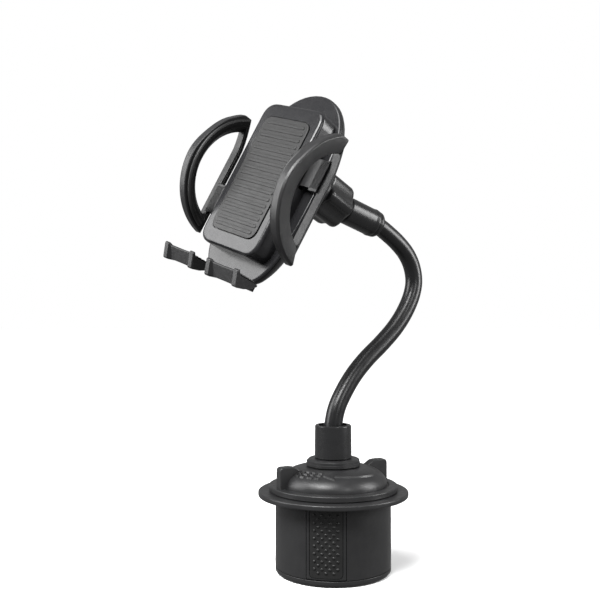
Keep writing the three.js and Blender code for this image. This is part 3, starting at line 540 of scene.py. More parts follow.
def grip_jaw(index):
    """The panel with the carriage, brace and web behind it, and the pin in the scroll's slot."""
    angle = JAW_ANGLES[index - 1]
    inner, recess_r, beyond = 30.9, 32.1, 40
    low, high = PLATE_TOP + 2 * GAP, DECK_Z - GAP
    outline = []
    steps = 20
    for radius, order in ((BASE_R, 1), (inner, -1)):
        half = math.asin(JAW_HALF / radius)
        for i in range(steps + 1):
            turn = order * half * (2 * i / steps - 1)
            outline.append((radius * math.cos(turn), radius * math.sin(turn)))
    bm = slab(bmesh.new(), outline, low, high, 0.25, steps=2)
    recess = curved_strip(
        bmesh.new(), plate_columns(PAD_HALF + GAP, 5, DECK_Z - 0.1, 2.4, BASE_R),
        lambda a, z: cylinder_point(a, recess_r, z), lambda a, z: cylinder_point(a, beyond, z))
    bm = combined(bm, recess)
    carriage = ((13, inner + 0.5), (-6.3, 6.3), (4, 7.5))
    brace = ((14.5, inner + 0.4), (-4, 4), (30.5, 33.5))
    web = ((24, inner + 0.4), (-1, 1), (6, 32))
    for x, y, z in (carriage, brace, web):
        add_to(bm, box(bmesh.new(), x, y, z))
    pin_r, pin_low, pin_high, pin_x = 1.6, 33, 39.4, 14.5
    add_to(bm, rod(bmesh.new(), pin_r, pin_low, pin_high, pin_x))
    turn_about_z(bm, angle)
    return piece(f"jaw_{index}_panel", bm, ROW, f"jaw_{index}", SATIN, [f"grip_jaw_{index}"])


def jaw_pad(index):
    """A rubber pad with staggered rows of round studs."""
    low, high = 5.3, DECK_Z - 0.5
    back, face = 32.3, BASE_R - 0.15
    bm = curved_strip(
        bmesh.new(), plate_columns(PAD_HALF, low, high, 2.1, BASE_R),
        lambda a, z: cylinder_point(a, back, z), lambda a, z: cylinder_point(a, face, z))
    pitch, row_pitch = 4.25, 2.05
    stud_r, stud_high = 0.9, 0.62
    rows, first_row = 17, 2.8
    for row in range(rows):
        per_row = 3 if row % 2 == 0 else 4
        z = low + first_row + row_pitch * row
        for k in range(per_row):
            across = pitch * (k - (per_row - 1) / 2)
            stud = lathe(bmesh.new(), [
                (0, -0.2), (stud_r, -0.2), (stud_r * 0.94, 0.18), (stud_r * 0.72, 0.42),
                (stud_r * 0.4, 0.57), (0, stud_high),
            ], 12)
            bmesh.ops.rotate(stud, verts=stud.verts, matrix=Matrix.Rotation(math.pi / 2, 3, "Y"))
            bmesh.ops.translate(stud, verts=stud.verts, vec=(face, 0, z))
            turn_about_z(stud, math.asin(across / BASE_R))
            add_to(bm, stud)
    turn_about_z(bm, JAW_ANGLES[index - 1])
    return piece(f"jaw_{index}_studded_pad", bm, ROW, f"jaw_{index}", RUBBER, [f"jaw_pad_{index}"])


def dome_height(radius):
    """Height of the dial's dome at a radius."""
    share = (radius - COLLAR_R - 0.5) / (DOME_R - COLLAR_R - 0.5)
    low = RIM_TOP + 0.5
    return low + (DOME_TOP - low) * math.sin(math.acos(max(0.0, min(1.0, share))))


def dome_arc(rim, crown, low, high, steps):
    return [(crown + (rim - crown) * math.cos(t), low + (high - low) * math.sin(t))
            for t in (i / steps * math.pi / 2 for i in range(steps + 1))]


def dial_mark(bm, columns):
    """A raised mark with sloping sides on the dome: columns of (angle, inner, outer radius)."""
    rise, root, slope = 0.75, -0.4, 0.35
    rows = []
    for angle, inner, outer in columns:
        flank = min(slope, 0.45 * (outer - inner))
        corners = ((inner - flank, root), (inner + flank / 2, rise),
                   (outer - flank / 2, rise), (outer + flank, root))
        rows.append([bm.verts.new(cylinder_point(angle, r, dome_height(r) + lift))
                     for r, lift in corners])
    return skin_over(bm, rows)


MARK_R = 24.4


def dial_arrow(bm):
    """A long curved arrow that points clockwise."""
    tip, neck, tail = -50 * DEG, -35.5 * DEG, 20 * DEG
    half_line, half_head = 0.6, 2.8
    steps = 20
    shaft = []
    for i in range(steps + 1):
        middle = MARK_R + 0.2 + 1.3 * i / steps
        shaft.append((neck + (tail - neck) * i / steps, middle - half_line, middle + half_line))
    dial_mark(bm, shaft)
    steps = 8
    head = []
    for i in range(steps + 1):
        half = 0.05 + half_head * i / steps
        head.append((tip + (neck - tip) * i / steps, MARK_R + 0.2 - half, MARK_R + 0.2 + half))
    return dial_mark(bm, head)


def dial_word(bm):
    """Four raised letter-like signs ahead of the arrow: a stem and three strokes each."""
    first, pitch, width = -90 * DEG, 10 * DEG, 7 * DEG
    half_high, half_stroke, stem = 2.5, 0.36, 1.5 * DEG
    for i in range(4):
        left = first + pitch * i
        dial_mark(bm, [(left, MARK_R - half_high, MARK_R + half_high),
                       (left + stem, MARK_R - half_high, MARK_R + half_high)])
        for row in (-1, 0, 1):
            middle = MARK_R + row * (half_high - half_stroke)
            end = left + width * (1 - 0.2 * (row == 1) * (i % 2))
            dial_mark(bm, [(left + stem + (end - left - stem) * k / 3, middle - half_stroke,
                            middle + half_stroke) for k in range(4)])
    return bm


def dial():
    hub_tip, hub_low = 10.2, 33
    rim_r, rim_low = 36.7, 46.6
    wall = 2.6
    outline = rounded([
        (rim_r - wall, rim_low), (rim_r, rim_low), (rim_r, RIM_TOP), (rim_r - 3.2, RIM_TOP + 0.15),
        (DOME_R + 1.2, RIM_TOP + 0.15), (DOME_R + 0.7, RIM_TOP - 0.25), (DOME_R, RIM_TOP - 0.25),
    ], [0, 0.4, 0.7, 0.3, 0.3, 0.1, 0.1], closed=False)
    outline += dome_arc(DOME_R, COLLAR_R + 0.5, RIM_TOP + 0.5, DOME_TOP, 14)
    outline += [
        (POST_R + GAP, DOME_TOP), (POST_R + GAP, hub_low), (hub_tip, hub_low), (hub_tip, 35),
        (hub_tip - 0.9, 35), (hub_tip - 0.9, 36.4), (hub_tip, 36.4), (hub_tip, 40), (12.3, 40),
    ]
    outline += reversed(dome_arc(DOME_R - wall, 12.3, 48.8, DOME_TOP - wall, 8))
    outline.append((rim_r - wall, 48.2))
    bm = lathe(bmesh.new(), outline, 144)
    ear = rounded([
        (17, 55), (21, 58.8), (25.2, EAR_TOP - 0.4), (27.8, EAR_TOP), (EAR_R, EAR_TOP),
        (EAR_R, RIM_TOP - 0.5), (27.5, RIM_TOP - 0.5), (24, 53),
    ], [0, 1, 2, 2, 2.4, 0, 0, 0])
    for turn in (EAR_AZIMUTH, EAR_AZIMUTH + math.pi):
        wing = slab(bmesh.new(), ear, -EAR_HALF, EAR_HALF, 0.7, lambda r, z, across: (r, across, z))
        bm = combined(bm, turn_about_z(wing, turn), "UNION")
    add_to(bm, dial_arrow(bmesh.new()))
    add_to(bm, dial_word(bmesh.new()))
    return piece("dial", bm, ROW, "dial", SATIN, ["dial_cap"])


def octagon(apothem, limit):
    """Radius of an eight-sided outline with its corners rounded off at limit."""
    def radius(turn):
        sector = (turn + math.pi / 8) % (math.pi / 4) - math.pi / 8
        return min(apothem / math.cos(sector), limit)
    return radius


def neck_lock_nut():
    low, high = extent("neck_lock_nut", ROW, 2)
    hole = POST_R + GAP
    stations = [
        (hole, low), (octagon(14.6, 15.1), low), (octagon(15.1, 15.7), low + 0.4),
        (octagon(15.1, 15.7), low + 1.7), (octagon(14.8, 15.35), low + 1.95),
        (octagon(14.8, 15.35), high - 0.9), (octagon(14.3, 14.8), high - 0.35),
        (octagon(13.7, 14.1), high), (hole, high),
    ]
    bm = lathe(bmesh.new(), stations, 128)
    return piece("collar_nut", bm, ROW, "neck_nut", SATIN, ["neck_lock_nut"])


def hexagon(apothem):
    def radius(turn):
        sector = (turn + math.pi / 6) % (math.pi / 3) - math.pi / 6
        return apothem / math.cos(sector)
    return radius


def neck_socket():
    low, high = extent("neck_socket", ROW, 2)
    foot = 64.7
    wide, slim = 10.6, 10.4
    bore = TUBE_R + GAP
    floor = high - 4
    plug = 5.2
    stations = [
        (0, low), (plug, low), (plug, foot), (wide - 0.5, foot), (wide - 0.1, foot + 0.2),
        (wide, foot + 0.6), (slim, high - 0.9), (slim - 0.15, high - 0.35), (slim - 0.6, high),
        (hexagon(8.3), high), (hexagon(8.05), high - 0.3), (hexagon(8), floor),
        (bore, floor), (bore, 66.5), (0, 66.5),
    ]
    bm = lathe(bmesh.new(), stations, 120)
    return piece("tube_socket", bm, ROW, "base", SMOOTH, ["neck_socket"])


# ---- gooseneck
def centripetal(points, per_span=40):
    """A centripetal Catmull-Rom curve through points, as a fine polyline."""
    first = 2 * points[0] - points[1]
    last = 2 * points[-1] - points[-2]
    padded = [first, *points, last]
    line = []
    for p0, p1, p2, p3 in zip(padded, padded[1:], padded[2:], padded[3:]):
        d0, d1, d2 = ((b - a).length ** 0.5 for a, b in ((p0, p1), (p1, p2), (p2, p3)))
        t1 = d1 * ((p1 - p0) / d0 - (p2 - p0) / (d0 + d1) + (p2 - p1) / d1)
        t2 = d1 * ((p2 - p1) / d1 - (p3 - p1) / (d1 + d2) + (p3 - p2) / d2)
        for k in range(per_span):
            t = k / per_span
            line.append(p1 + t * t1 + t * t * (-3 * p1 + 3 * p2 - 2 * t1 - t2)
                        + t ** 3 * (2 * p1 - 2 * p2 + t1 + t2))
    line.append(points[-1])
    return line


class Route:
    """The tube's centreline, by distance along it in millimetres."""

    def __init__(self, line):
        self.line = line
        self.distance = [0.0]
        for a, b in zip(line, line[1:]):
            self.distance.append(self.distance[-1] + (b - a).length)
        self.length = self.distance[-1]

    def at(self, along):
        along = max(0.0, min(self.length, along))
        i = 0
        while self.distance[i + 1] < along:
            i += 1
        share = (along - self.distance[i]) / (self.distance[i + 1] - self.distance[i])
        return self.line[i].lerp(self.line[i + 1], share)

    def nearest(self, point):
        best = min(range(len(self.line)), key=lambda i: (self.line[i] - point).length)
        return self.distance[best]

    def direction(self, along):
        return (self.at(along + 0.3) - self.at(along - 0.3)).normalized()


ROUTE = Route(centripetal([Vector((0, y, z)) for y, z in NECK_ROUTE]))
NECK_JOINTS = ["neck_bend_1", "neck_swing_2", "neck_bend_3", "neck_swing_4", "neck_bend_5"]


def tube(start, end, radius, sides=48):
    """A round tube over a stretch of the route, which lies in the YZ plane."""
    bm = bmesh.new()
    steps = max(8, round(end - start))
    rings = []
    for i in range(steps + 1):
        along = start + (end - start) * i / steps
        centre, ahead = ROUTE.at(along), ROUTE.direction(along)
        across = ahead.cross(ROW_X)
        rings.append([centre + radius * (math.cos(t) * ROW_X + math.sin(t) * across)
                      for t in (2 * math.pi * k / sides for k in range(sides))])
    return loft(bm, rings)


def gooseneck():
    """One stretch of skin for each bend, from mid-length to mid-length, along the route's smooth
    curve.
    """
    bends = [ROUTE.nearest(Vector(JOINTS[name]["pos_m"]) / MM) for name in NECK_JOINTS]
    middles = [(a + b) / 2 for a, b in zip(bends, bends[1:])]
    starts, ends = [0.3, *middles], [*middles, ROUTE.length - 0.3]
    for i, name in enumerate(NECK_JOINTS):
        skin = piece(f"gooseneck_{i + 1}", tube(starts[i], ends[i], TUBE_R), ROW, None, NECK_SKIN)
        hidden = [f"neck_sleeve_{i + 1}", f"neck_core_{i + 1}"]
        if i + 1 == len(NECK_JOINTS):
            hidden += [f"neck_sleeve_{i + 2}", f"neck_core_{i + 2}"]
        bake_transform(skin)
        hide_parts(*hidden)


# ---- sleeve, ball and its nut
def upper_sleeve():
    near, far = extent("upper_sleeve", SLEEVE, 2)
    wide = 8
    bore, stem = TUBE_R + GAP, 3.3
    outline = rounded([
        (stem, near), (5.9, near), (wide, near + 1.7), (wide, far - 3.4), (wide + 0.32, far - 1.4),
        (wide + 0.1, far), (bore, far), (bore, near + 3.4), (stem, near + 3.4),
    ], [0, 0.4, 1, 3, 0.8, 0.4, 0, 0, 0])
    bm = lathe(bmesh.new(), outline, 96)
    return piece("ball_sleeve", bm, SLEEVE, "neck_head", SMOOTH, ["upper_sleeve"])


def sleeve_ring():
    near, far = extent("upper_sleeve_ring", SLEEVE, 2)
    bore = TUBE_R + GAP
    outline = rounded([
        (bore, near), (7.55, near), (7.95, near + 0.8), (7.7, far - 1.4), (6.7, far - 0.1),
        (6.0, far), (bore, far),
    ], [0, 0.3, 0.8, 1, 0.6, 0.2, 0])
    bm = lathe(bmesh.new(), outline, 96)
    return piece("ball_sleeve_ring", bm, SLEEVE, "neck_head", SMOOTH, ["upper_sleeve_ring"])


def ball_stud():
    ball_r, stem_r = 7, 3
    start = math.asin(stem_r / ball_r)
    arc = [(ball_r * math.sin(t), ball_r * math.cos(t))
           for t in (start + (math.pi - start) * i / 20 for i in range(20))]
    shoulder = 12.3
    plug_r, plug_end = 5.2, shoulder + 6
    outline = [(0, plug_end), (plug_r, plug_end), (plug_r, shoulder), (stem_r, shoulder), *arc,
               (0, -ball_r)]
    bm = lathe(bmesh.new(), outline, 64)
    return piece("ball_and_stem", bm, SLEEVE, "neck_head", SMOOTH, ["ball_stud"])


def ball_lock_nut():
    """A knob with six rounded lobes over the ball's seat."""
    rear, front = extent("ball_lock_nut", CRADLE, 2)
    lobes, mean, wave = 6, 12.85, 1.2

    def lobed(shrink, depth=1.0):
        def radius(turn):
            swing = math.cos(lobes * turn)
            shaped = math.copysign(abs(swing) ** 0.75, swing)
            return mean + wave * depth * shaped - shrink
        return radius

    boss = 11.2 + GAP
    stations = [
        (7.0, rear), (lobed(2.6, 0.3), rear), (lobed(1.2, 0.6), rear + 0.6),
        (lobed(0.4, 0.9), rear + 1.8), (lobed(0), rear + 3.4), (lobed(0), front - 2.2),
        (lobed(0.15), front - 1.1),
        (lobed(0.7, 0.9), front - 0.3), (lobed(1.3, 0.8), front),
        (boss, front), (boss, -0.6), (6.8, -2.8), (6.1, -4.1), (5.6, -4.9),
    ]
    bm = lathe(bmesh.new(), stations, 144)
    return piece("ball_nut", bm, CRADLE, "ball_nut", SMOOTH, ["ball_lock_nut"])


# ---- cradle housing
def bezier(p0, p1, p2, p3, steps):
    points = []
    for i in range(steps):
        t = i / steps
        weights = ((1 - t) ** 3, 3 * t * (1 - t) ** 2, 3 * t * t * (1 - t), t ** 3)
        points.append(tuple(sum(w * p[axis] for w, p in zip(weights, (p0, p1, p2, p3)))
                            for axis in (0, 1)))
    return points


def housing_outline(shrink=0.0, steps=14):
    """Straight bottom edge, bulging sides and an arched top, anticlockwise from the bottom."""
    def at(x, y, rise=0.0):
        return (x - shrink, y + rise * shrink)

    foot = [at(14, -66.4, 1), at(20.5, -66, 1), at(24.6, -60, 0.9), at(27.6, -51, 0.6)]
    side = [foot[-1], at(32, -36), at(32, -6), at(30, 10)]
    top = 43.5 - shrink
    arch = [side[-1], at(30, 26, -1), (19 - shrink, top), (0, top)]
    half = [(0, -66.6 + shrink)]
    for curve in (foot, side, arch):
        half += bezier(*curve, steps)
    mirrored = [(-x, y) for x, y in reversed(half[1:])]
    return half + [(0, top)] + mirrored


def housing_loft(bm, levels):
    return loft(bm, [[(x, y, z) for x, y in housing_outline(shrink)] for shrink, z in levels])


def foot_slots():
    knife = bmesh.new()
    for side in (-1, 1):
        low, high = sorted((side * (TONGUE_X[0] - GAP), side * (TONGUE_X[1] + GAP)))
        box(knife, (low, high), (-72, -60), (TONGUE_Z[0] - GAP, TONGUE_Z[1] + GAP), edge=0)
    return knife


def back_housing():
    wall = 2
    floor = BACK_Z + wall
    skin = rounded([
        (11.5, BACK_Z), (9, 30.2), (6, 32.6), (3, 35.8), (0.9, 38.8), (0, 41), (0, SPLIT_Z - 0.3),
        (0.3, SPLIT_Z),
    ], 3, closed=False, steps=2)
    hollow = [(wall, SPLIT_Z), (2, 41.2), (3, 39), (5.3, 36), (8.4, 33), (11.2, floor)]
    bm = housing_loft(bmesh.new(), skin + hollow)
    knife = bmesh.new()
    button_hole_r, screw_hole_r = 6.3, 2.9
    rod(knife, button_hole_r, BACK_Z - 1, BACK_Z + 3, 0, BUTTON_Y, 64, edge=0)
    for x, y in SCREW_SPOTS:
        rod(knife, screw_hole_r, BACK_Z - 1, BACK_Z + 3, x, y, 32, edge=0)
    bm = combined(bm, knife)
    bm = combined(bm, foot_slots())
    dish = lathe(bmesh.new(), [
        (0, BACK_Z - 1), (BUTTON_DISH_R, BACK_Z - 1), (BUTTON_DISH_R - 0.6, BACK_Z + 0.5),
        (0, BACK_Z + 0.5),
    ], 64)
    bm = combined(bm, shifted(dish, (0, BUTTON_Y, 0)))
    seat_r, boss_r = 9.1, 11.2
    arc = [(seat_r * math.sin(t), seat_r * math.cos(t))
           for t in (i / 10 * math.pi / 2 for i in range(11))]
    boss = rounded([
        (boss_r, 0.2), (boss_r, 19), (12.6, 21.6), (14.4, 26), (17.5, BACK_Z + 0.9),
        (0, BACK_Z + 0.9),
    ], [0.3, 2, 3, 3, 0, 0], closed=False)
    add_to(bm, lathe(bmesh.new(), [(0, seat_r), *arc[1:], *boss], 96))
    bore_r, sleeve_r = 1.5, 3.3
    for x, y in SCREW_SPOTS:
        sleeve = [(screw_hole_r, floor - 0.6), (sleeve_r, floor - 0.6), (sleeve_r, SPLIT_Z),
                  (bore_r, SPLIT_Z), (bore_r, floor), (screw_hole_r, floor)]
        add_to(bm, shifted(lathe(bmesh.new(), sleeve, 32), (x, y, 0)))
    lug_y, lug_z = (5.5, 10.5), (BACK_Z + 1.5, 45.5)
    for side in (-1, 1):
        add_to(bm, box(bmesh.new(), sorted((side * 4, side * 6)), lug_y, lug_z))
    post_bore, post_r, post_top = 1.8, 3, 45
    post = [(post_bore, BACK_Z + 3), (post_r, BACK_Z + 3), (post_r, post_top),
            (post_bore, post_top)]
    add_to(bm, shifted(lathe(bmesh.new(), post, 32), (0, PINION_Y, 0)))
    return piece("housing_back", bm, CRADLE, "cradle", SATIN, ["back_housing"])


def rounded_top(edge, top, steps):
    """Levels (shrink, z) of a wall that rounds over to a flat top."""
    turns = [i / steps * math.pi / 2 for i in range(1, steps + 1)]
    return [(0, top - edge)] + [(edge * (1 - math.cos(t)), top - edge + edge * math.sin(t))
                                for t in turns]


def front_cover():
    low = SPLIT_Z + GAP
    plate_edge, block_edge, wall = 1.1, 2.2, 1.8
    levels = [(0.3, low), (0, low + 0.3), *rounded_top(plate_edge, LEDGE_Z, 4)]
    plate = housing_loft(bmesh.new(), levels)
    outline = round_rect(BOX_HALF, *BOX_Y, 9)
    rings = []
    for shrink, z in [(0, low + 0.1), *rounded_top(block_edge, BOX_Z, 5)]:
        ring = inset(outline, shrink) if shrink else outline
        rings.append([(x, y, z) for x, y in ring])
    bm = combined(plate, loft(bmesh.new(), rings), "UNION")
    inside = round_rect(BOX_HALF - wall, BOX_Y[0] + wall, BOX_Y[1] - wall, 7)
    bm = combined(bm, slab(bmesh.new(), inside, low - 1, BOX_Z - wall, 0))
    slot_z = (SLIDE_Z[0] - GAP, SLIDE_Z[1] + GAP)
    slots = bmesh.new()
    box(slots, (18, 30), (PINION_Y + 4.5, 7), slot_z, edge=0)
    box(slots, (-30, -18), (2 * PINION_Y - 7, PINION_Y - 4.5), slot_z, edge=0)
    bm = combined(bm, slots)
    well = slab(bmesh.new(), round_rect(18.5, -47, 22, 6.4), BOX_Z - 0.7, BOX_Z + 2, 0)
    bm = combined(bm, well)
    bore_r, bore_end, boss_r = 1.4, LEDGE_Z - 0.4, 3
    for x, y in SCREW_SPOTS:
        boss = [(bore_r, low), (boss_r, low), (boss_r, BOX_Z - 1), (0, BOX_Z - 1), (0, bore_end),
                (bore_r, bore_end)]
        add_to(bm, shifted(lathe(bmesh.new(), boss, 32), (x, y, 0)))
    spring_post_r, spring_post_low, spring_post_x = 1, 51, 9
    add_to(bm, rod(bmesh.new(), spring_post_r, spring_post_low, BOX_Z - 1, spring_post_x, PINION_Y))
    return piece("housing_front", bm, CRADLE, "cradle", POLISHED, ["front_cover"])


def front_pad():
    """A rubber pad with shallow ribs that follow its outline's width."""
    half, low, high = 18, -46.5, 21.5
    floor, face = BOX_Z - 0.4, PAD_FACE_Z
    rib_high = 0.35
    bm = slab(bmesh.new(), round_rect(half, low, high, 6), floor, face - rib_high, 0.3)
    ribs, margin = 17, 3.4
    for i in range(ribs):
        y = low + margin + (high - low - 2 * margin) * i / (ribs - 1)
        corner = max(0.0, 5.4 - min(y - low, high - y))
        reach_x = half - 2 - 0.55 * corner
        rib = round_rect(reach_x, y - 0.95, y + 0.95, 0.9, steps=5)
        add_to(bm, slab(bmesh.new(), rib, face - 0.6, face, 0.3))
    return piece("phone_pad", bm, CRADLE, "cradle", RUBBER, ["front_pad"])


# ---- arms
TOP_STEPS = 5
ARC_STEPS = 52
BAR_STEPS = 16
ARM_SHARP = 17 * DEG                # the arm's broad bands meet at shallow edges


def flattened(turn):
    """The arc's radius against a true circle's: flatter above, wider towards the square top."""
    start, end = 38 * DEG, 92 * DEG
    if turn < start:
        return 1 + 0.1 * (start - turn)
    if turn > end:
        return 1
    return 1 - 0.025 * math.sin(math.pi * (turn - start) / (end - start)) ** 2


def d_outline(radius, back, lift, top=None):
    """A D in the [y, z] plane: an arc in front, and a back that lifts towards its upper end.

    With a top, the arc is cut off square at y = top, and TOP_STEPS points lie on the cut.
    """
    centre_y, centre_z = ARM_CENTRE
    end = math.pi - math.asin((back - centre_z) / radius)

    def on_arc(turn):
        r = radius * (flattened(turn) if top else 1)
        return centre_y + r * math.cos(turn), centre_z + r * math.sin(turn)

    def arc(start, count):
        return [on_arc(start + (end - start) * i / count) for i in range(count + 1)]

    if top:
        corner = math.acos((top - centre_y) / (1.024 * radius))
        cut = on_arc(corner)[1] - back - lift
        points = [(top, back + lift + cut * i / TOP_STEPS) for i in range(TOP_STEPS)]
        points += arc(corner, ARC_STEPS)
    else:
        points = arc(math.asin((back + lift - centre_z) / radius), TOP_STEPS + ARC_STEPS)
    lower, upper = points[-1][0], points[0][0]
    for share in [0.015, *(i / BAR_STEPS for i in range(1, BAR_STEPS)), 0.985]:
        y = lower + (upper - lower) * share
        points.append((y, back + lift * (max(0.0, y) / upper) ** 1.5))
    return points


def arm_ring():
    """The D-shaped arm: a broad flat band round a D-shaped window, mitred at its corners."""
    outer = d_outline(ARM_R, ARM_BACK, 4.8, ARM_TOP)
    window = d_outline(WINDOW_R, BAR_FRONT - 0.9, 2)
    near, far = ARM_X
    # (share of the way from the outer edge to the window, x on the arc, x on the bar)
    stations = [
        (0.0, near + 0.4, near + 0.4), (0.0, far - 1.5, far - 2.6), (0.02, far - 0.95, far - 2.3),
        (0.055, far - 0.4, far - 2.05), (0.1, far - 0.08, far - 1.9), (0.14, far, far - 1.8),
        (0.55, far - 0.3, far - 1.1), (0.94, far - 0.9, far - 0.4), (0.98, far - 1.1, far - 0.5),
        (1.0, far - 1.5, far - 0.9), (1.0, near + 2.6, near + 0.3), (0.72, near + 0.2, near + 0.2),
        (0.66, near, near), (0.04, near, near),
    ]
    bar_start = TOP_STEPS + ARC_STEPS + 1
    rings = []
    for share, arc_x, bar_x in stations:
        ring = []
        for i, (a, b) in enumerate(zip(outer, window)):
            y, z = Vector(a).lerp(Vector(b), share)
            ring.append((bar_x if i >= bar_start else arc_x, y, z))
        rings.append(ring)
    return loft(bmesh.new(), rings, capped=False)


def rack_plate(bm, flipped):
    """The plate that carries an arm into the housing, with its rack teeth."""
    inner_x, reach_x = -10.5, ARM_X[0] + 0.5
    pitch_line = PINION_Y + PITCH_R
    root, upper_edge = pitch_line + 1.1, 6.4
    parts = bmesh.new()
    box(parts, (inner_x, reach_x), (root, upper_edge), SLIDE_Z)
    box(parts, (reach_x - 6, reach_x), (pitch_line - 0.2, upper_edge), SLIDE_Z)
    pitch, rack_length = math.pi, 22.5
    root_half, tip_half, tooth_high = 0.85, 0.22, 1.8
    for i in range(int(rack_length / pitch)):
        x = inner_x + pitch * (i + 0.5)
        tooth = [(x - root_half, root + 0.3), (x - tip_half, root - tooth_high),
                 (x + tip_half, root - tooth_high), (x + root_half, root + 0.3)]
        slab(parts, tooth, SLIDE_Z[0], SLIDE_Z[1], 0)
    if flipped:
        for vertex in parts.verts:
            vertex.co.y = 2 * PINION_Y - vertex.co.y
    return add_to(bm, parts)


def arm(side):
    left = side == "left"
    bm = rack_plate(arm_ring(), left)
    return piece(f"{side}_arm_fin", bm, CRADLE, f"{side}_clamp", SATIN, [f"{side}_arm"],
                 mirrored=left, sharp=ARM_SHARP)


def arm_lining(side):
    """The rubber lip on the arm's inner face, over its arc only."""
    face = ARM_X[0] - GAP
    centre_y, centre_z = ARM_CENTRE
    section = rounded([
        (WINDOW_R + 3.2, face), (ARM_R - 1.7, face), (ARM_R - 1.3, face - 1.5),
        (ARM_R - 2.3, face - 2.5), (ARM_R - 4.0, face - 1.7), (ARM_R - 5.6, face - 1.4),
        (WINDOW_R + 3.2, face - 0.8),
    ], [0.1, 0.3, 0.6, 0.8, 0.6, 0.5, 0.3], steps=3)
    start = math.acos((ARM_TOP - 1 - centre_y) / (ARM_R - 1.3))
    end = math.pi - math.asin((BAR_FRONT + 1.2 - centre_z) / ARM_R)
    steps = 64
    rings = []
    for i in range(steps + 1):
        t = start + (end - start) * i / steps
        rings.append([(x, centre_y + r * math.cos(t), centre_z + r * math.sin(t))
                      for r, x in section])
    bm = loft(bmesh.new(), rings)
    return piece(f"{side}_arm_lip", bm, CRADLE, f"{side}_clamp", RUBBER, [f"{side}_arm_lining"],
                 mirrored=side == "left")


# ---- feet
def foot_section(scoop):
    """The foot's section in [y, z], round its shelf, lip and heel; scoop thins the lip."""
    return rounded([
        (-67.3, 51.4), (-66.3, 51.4), (-66.3, 64.4 - scoop), (-65.2 - 0.3 * scoop, 65.6 - scoop),
        (-64.2 - 0.5 * scoop, 66.4 - scoop), (-64.2 - 0.5 * scoop, 67.1 - scoop),
        (-65 - 0.4 * scoop, 67.7 - scoop), (-72.4 + 0.5 * scoop, 64.5 - 1.6 * scoop),
        (-72.7 + 0.7 * scoop, 63.4 - 1.6 * scoop), (-71.5 + 0.4 * scoop, 58.5), (-69.4, 54),
    ], [0.4, 0.2, 1.5, 0.8, 0.4, 0.4, 1, 0.9, 0.9, 6, 6], steps=3)


def foot(side):
    low, high = FOOT_X
    flange = 3.4
    scoop = 1.5
    # (x from the nearer end, share of the scoop)
    stations = [(0.05, 0.0), (0.5, 0.0), (flange, 0.0), (flange + 1.2, 0.9)]
    near = [(low + x, share) for x, share in stations]
    far = [(high - x, share) for x, share in reversed(stations)]
    rings = []
    for x, share in [*near, (low + (high - low) / 2, 1.0), *far]:
        section = foot_section(scoop * share)
        if min(x - low, high - x) < 0.1:
            section = inset(section, 0.3)
        rings.append([sideways(y, z, x) for y, z in section])
    bm = loft(bmesh.new(), rings)
    add_to(bm, box(bmesh.new(), TONGUE_X, (-69, -66.9), (TONGUE_Z[0], 56)))
    add_to(bm, box(bmesh.new(), TONGUE_X, (-69, -46), TONGUE_Z))
    return piece(f"{side}_foot_lip", bm, CRADLE, f"{side}_support", SATIN, [f"{side}_foot"],
                 mirrored=side == "left")


def foot_pad(side):
    low, high = FOOT_X[0] + 1.5, FOOT_X[1] - 1.5
    pad = rounded([(low, 52.5), (high, 52.5), (high, 63.5), (low, 63.5)], 1.2)
    bm = slab(bmesh.new(), pad, -66.0, -65.4, 0.25, upright)
    first_rib, pitch, half, margin = 54.2, 2.5, 0.5, 1.2
    for i in range(4):
        z = first_rib + pitch * i
        rib = rounded([(low + margin, z - half), (high - margin, z - half),
                       (high - margin, z + half), (low + margin, z + half)], 0.45)
        add_to(bm, slab(bmesh.new(), rib, -65.6, -65.05, 0.2, upright))
    return piece(f"{side}_foot_grip", bm, CRADLE, f"{side}_support", RUBBER, [f"{side}_foot_pad"],
                 mirrored=side == "left")


# ---- release button
def release_button():
    top = BACK_Z - 1.4
    outline = rounded([
        (0, top + 0.7), (2.6, top + 0.5), (4.9, top), (5.9, top + 1.2), (5.9, 31.4), (7.4, 31.4),
        (7.4, 32.4), (2, 32.4), (2, 41.7), (0, 41.7),
    ], [0, 1.5, 0.8, 0.8, 0.2, 0, 0, 0, 0, 0], closed=False)
    bm = lathe(bmesh.new(), outline, 64)
    for i in range(3):
        half = 2.6 - 0.5 * abs(i - 1)
        y = 1.5 * (i - 1)
        rib = round_rect(half, y - 0.3, y + 0.3, 0.28, steps=4)
        add_to(bm, slab(bmesh.new(), rib, top + 0.25, top + 1, 0.15))
    shifted(bm, (0, BUTTON_Y, 0))
    return piece("release_push", bm, CRADLE, "button", SMOOTH, ["release_button"])


# ---- carried-over CAD pieces
def dress_cad_nodes():
    plate_screws = [f"bottom_plate_screw_{i}" for i in (1, 2, 3)]
    housing_screws = [f"housing_screw_{i}" for i in (1, 2, 3, 4)]
    finishes = {
        STEEL: [*plate_screws, "post_screw", "dial_snap_ring", *housing_screws, "pinion_pin",
                "arm_opening_spring", "rocker_pin", "release_spring"],
        ACETAL: ["scroll_plate", "ball_friction_ring", "ball_seat_ring", "arm_pinion",
                 "release_rocker"],
        SMOOTH: ["centre_post"],
        RUBBER: ["base_centre_pad"],
    }
    for material, names in finishes.items():
        for name in names:
            mesh = NODES[name].data
            mesh.materials.clear()
            mesh.materials.append(material)


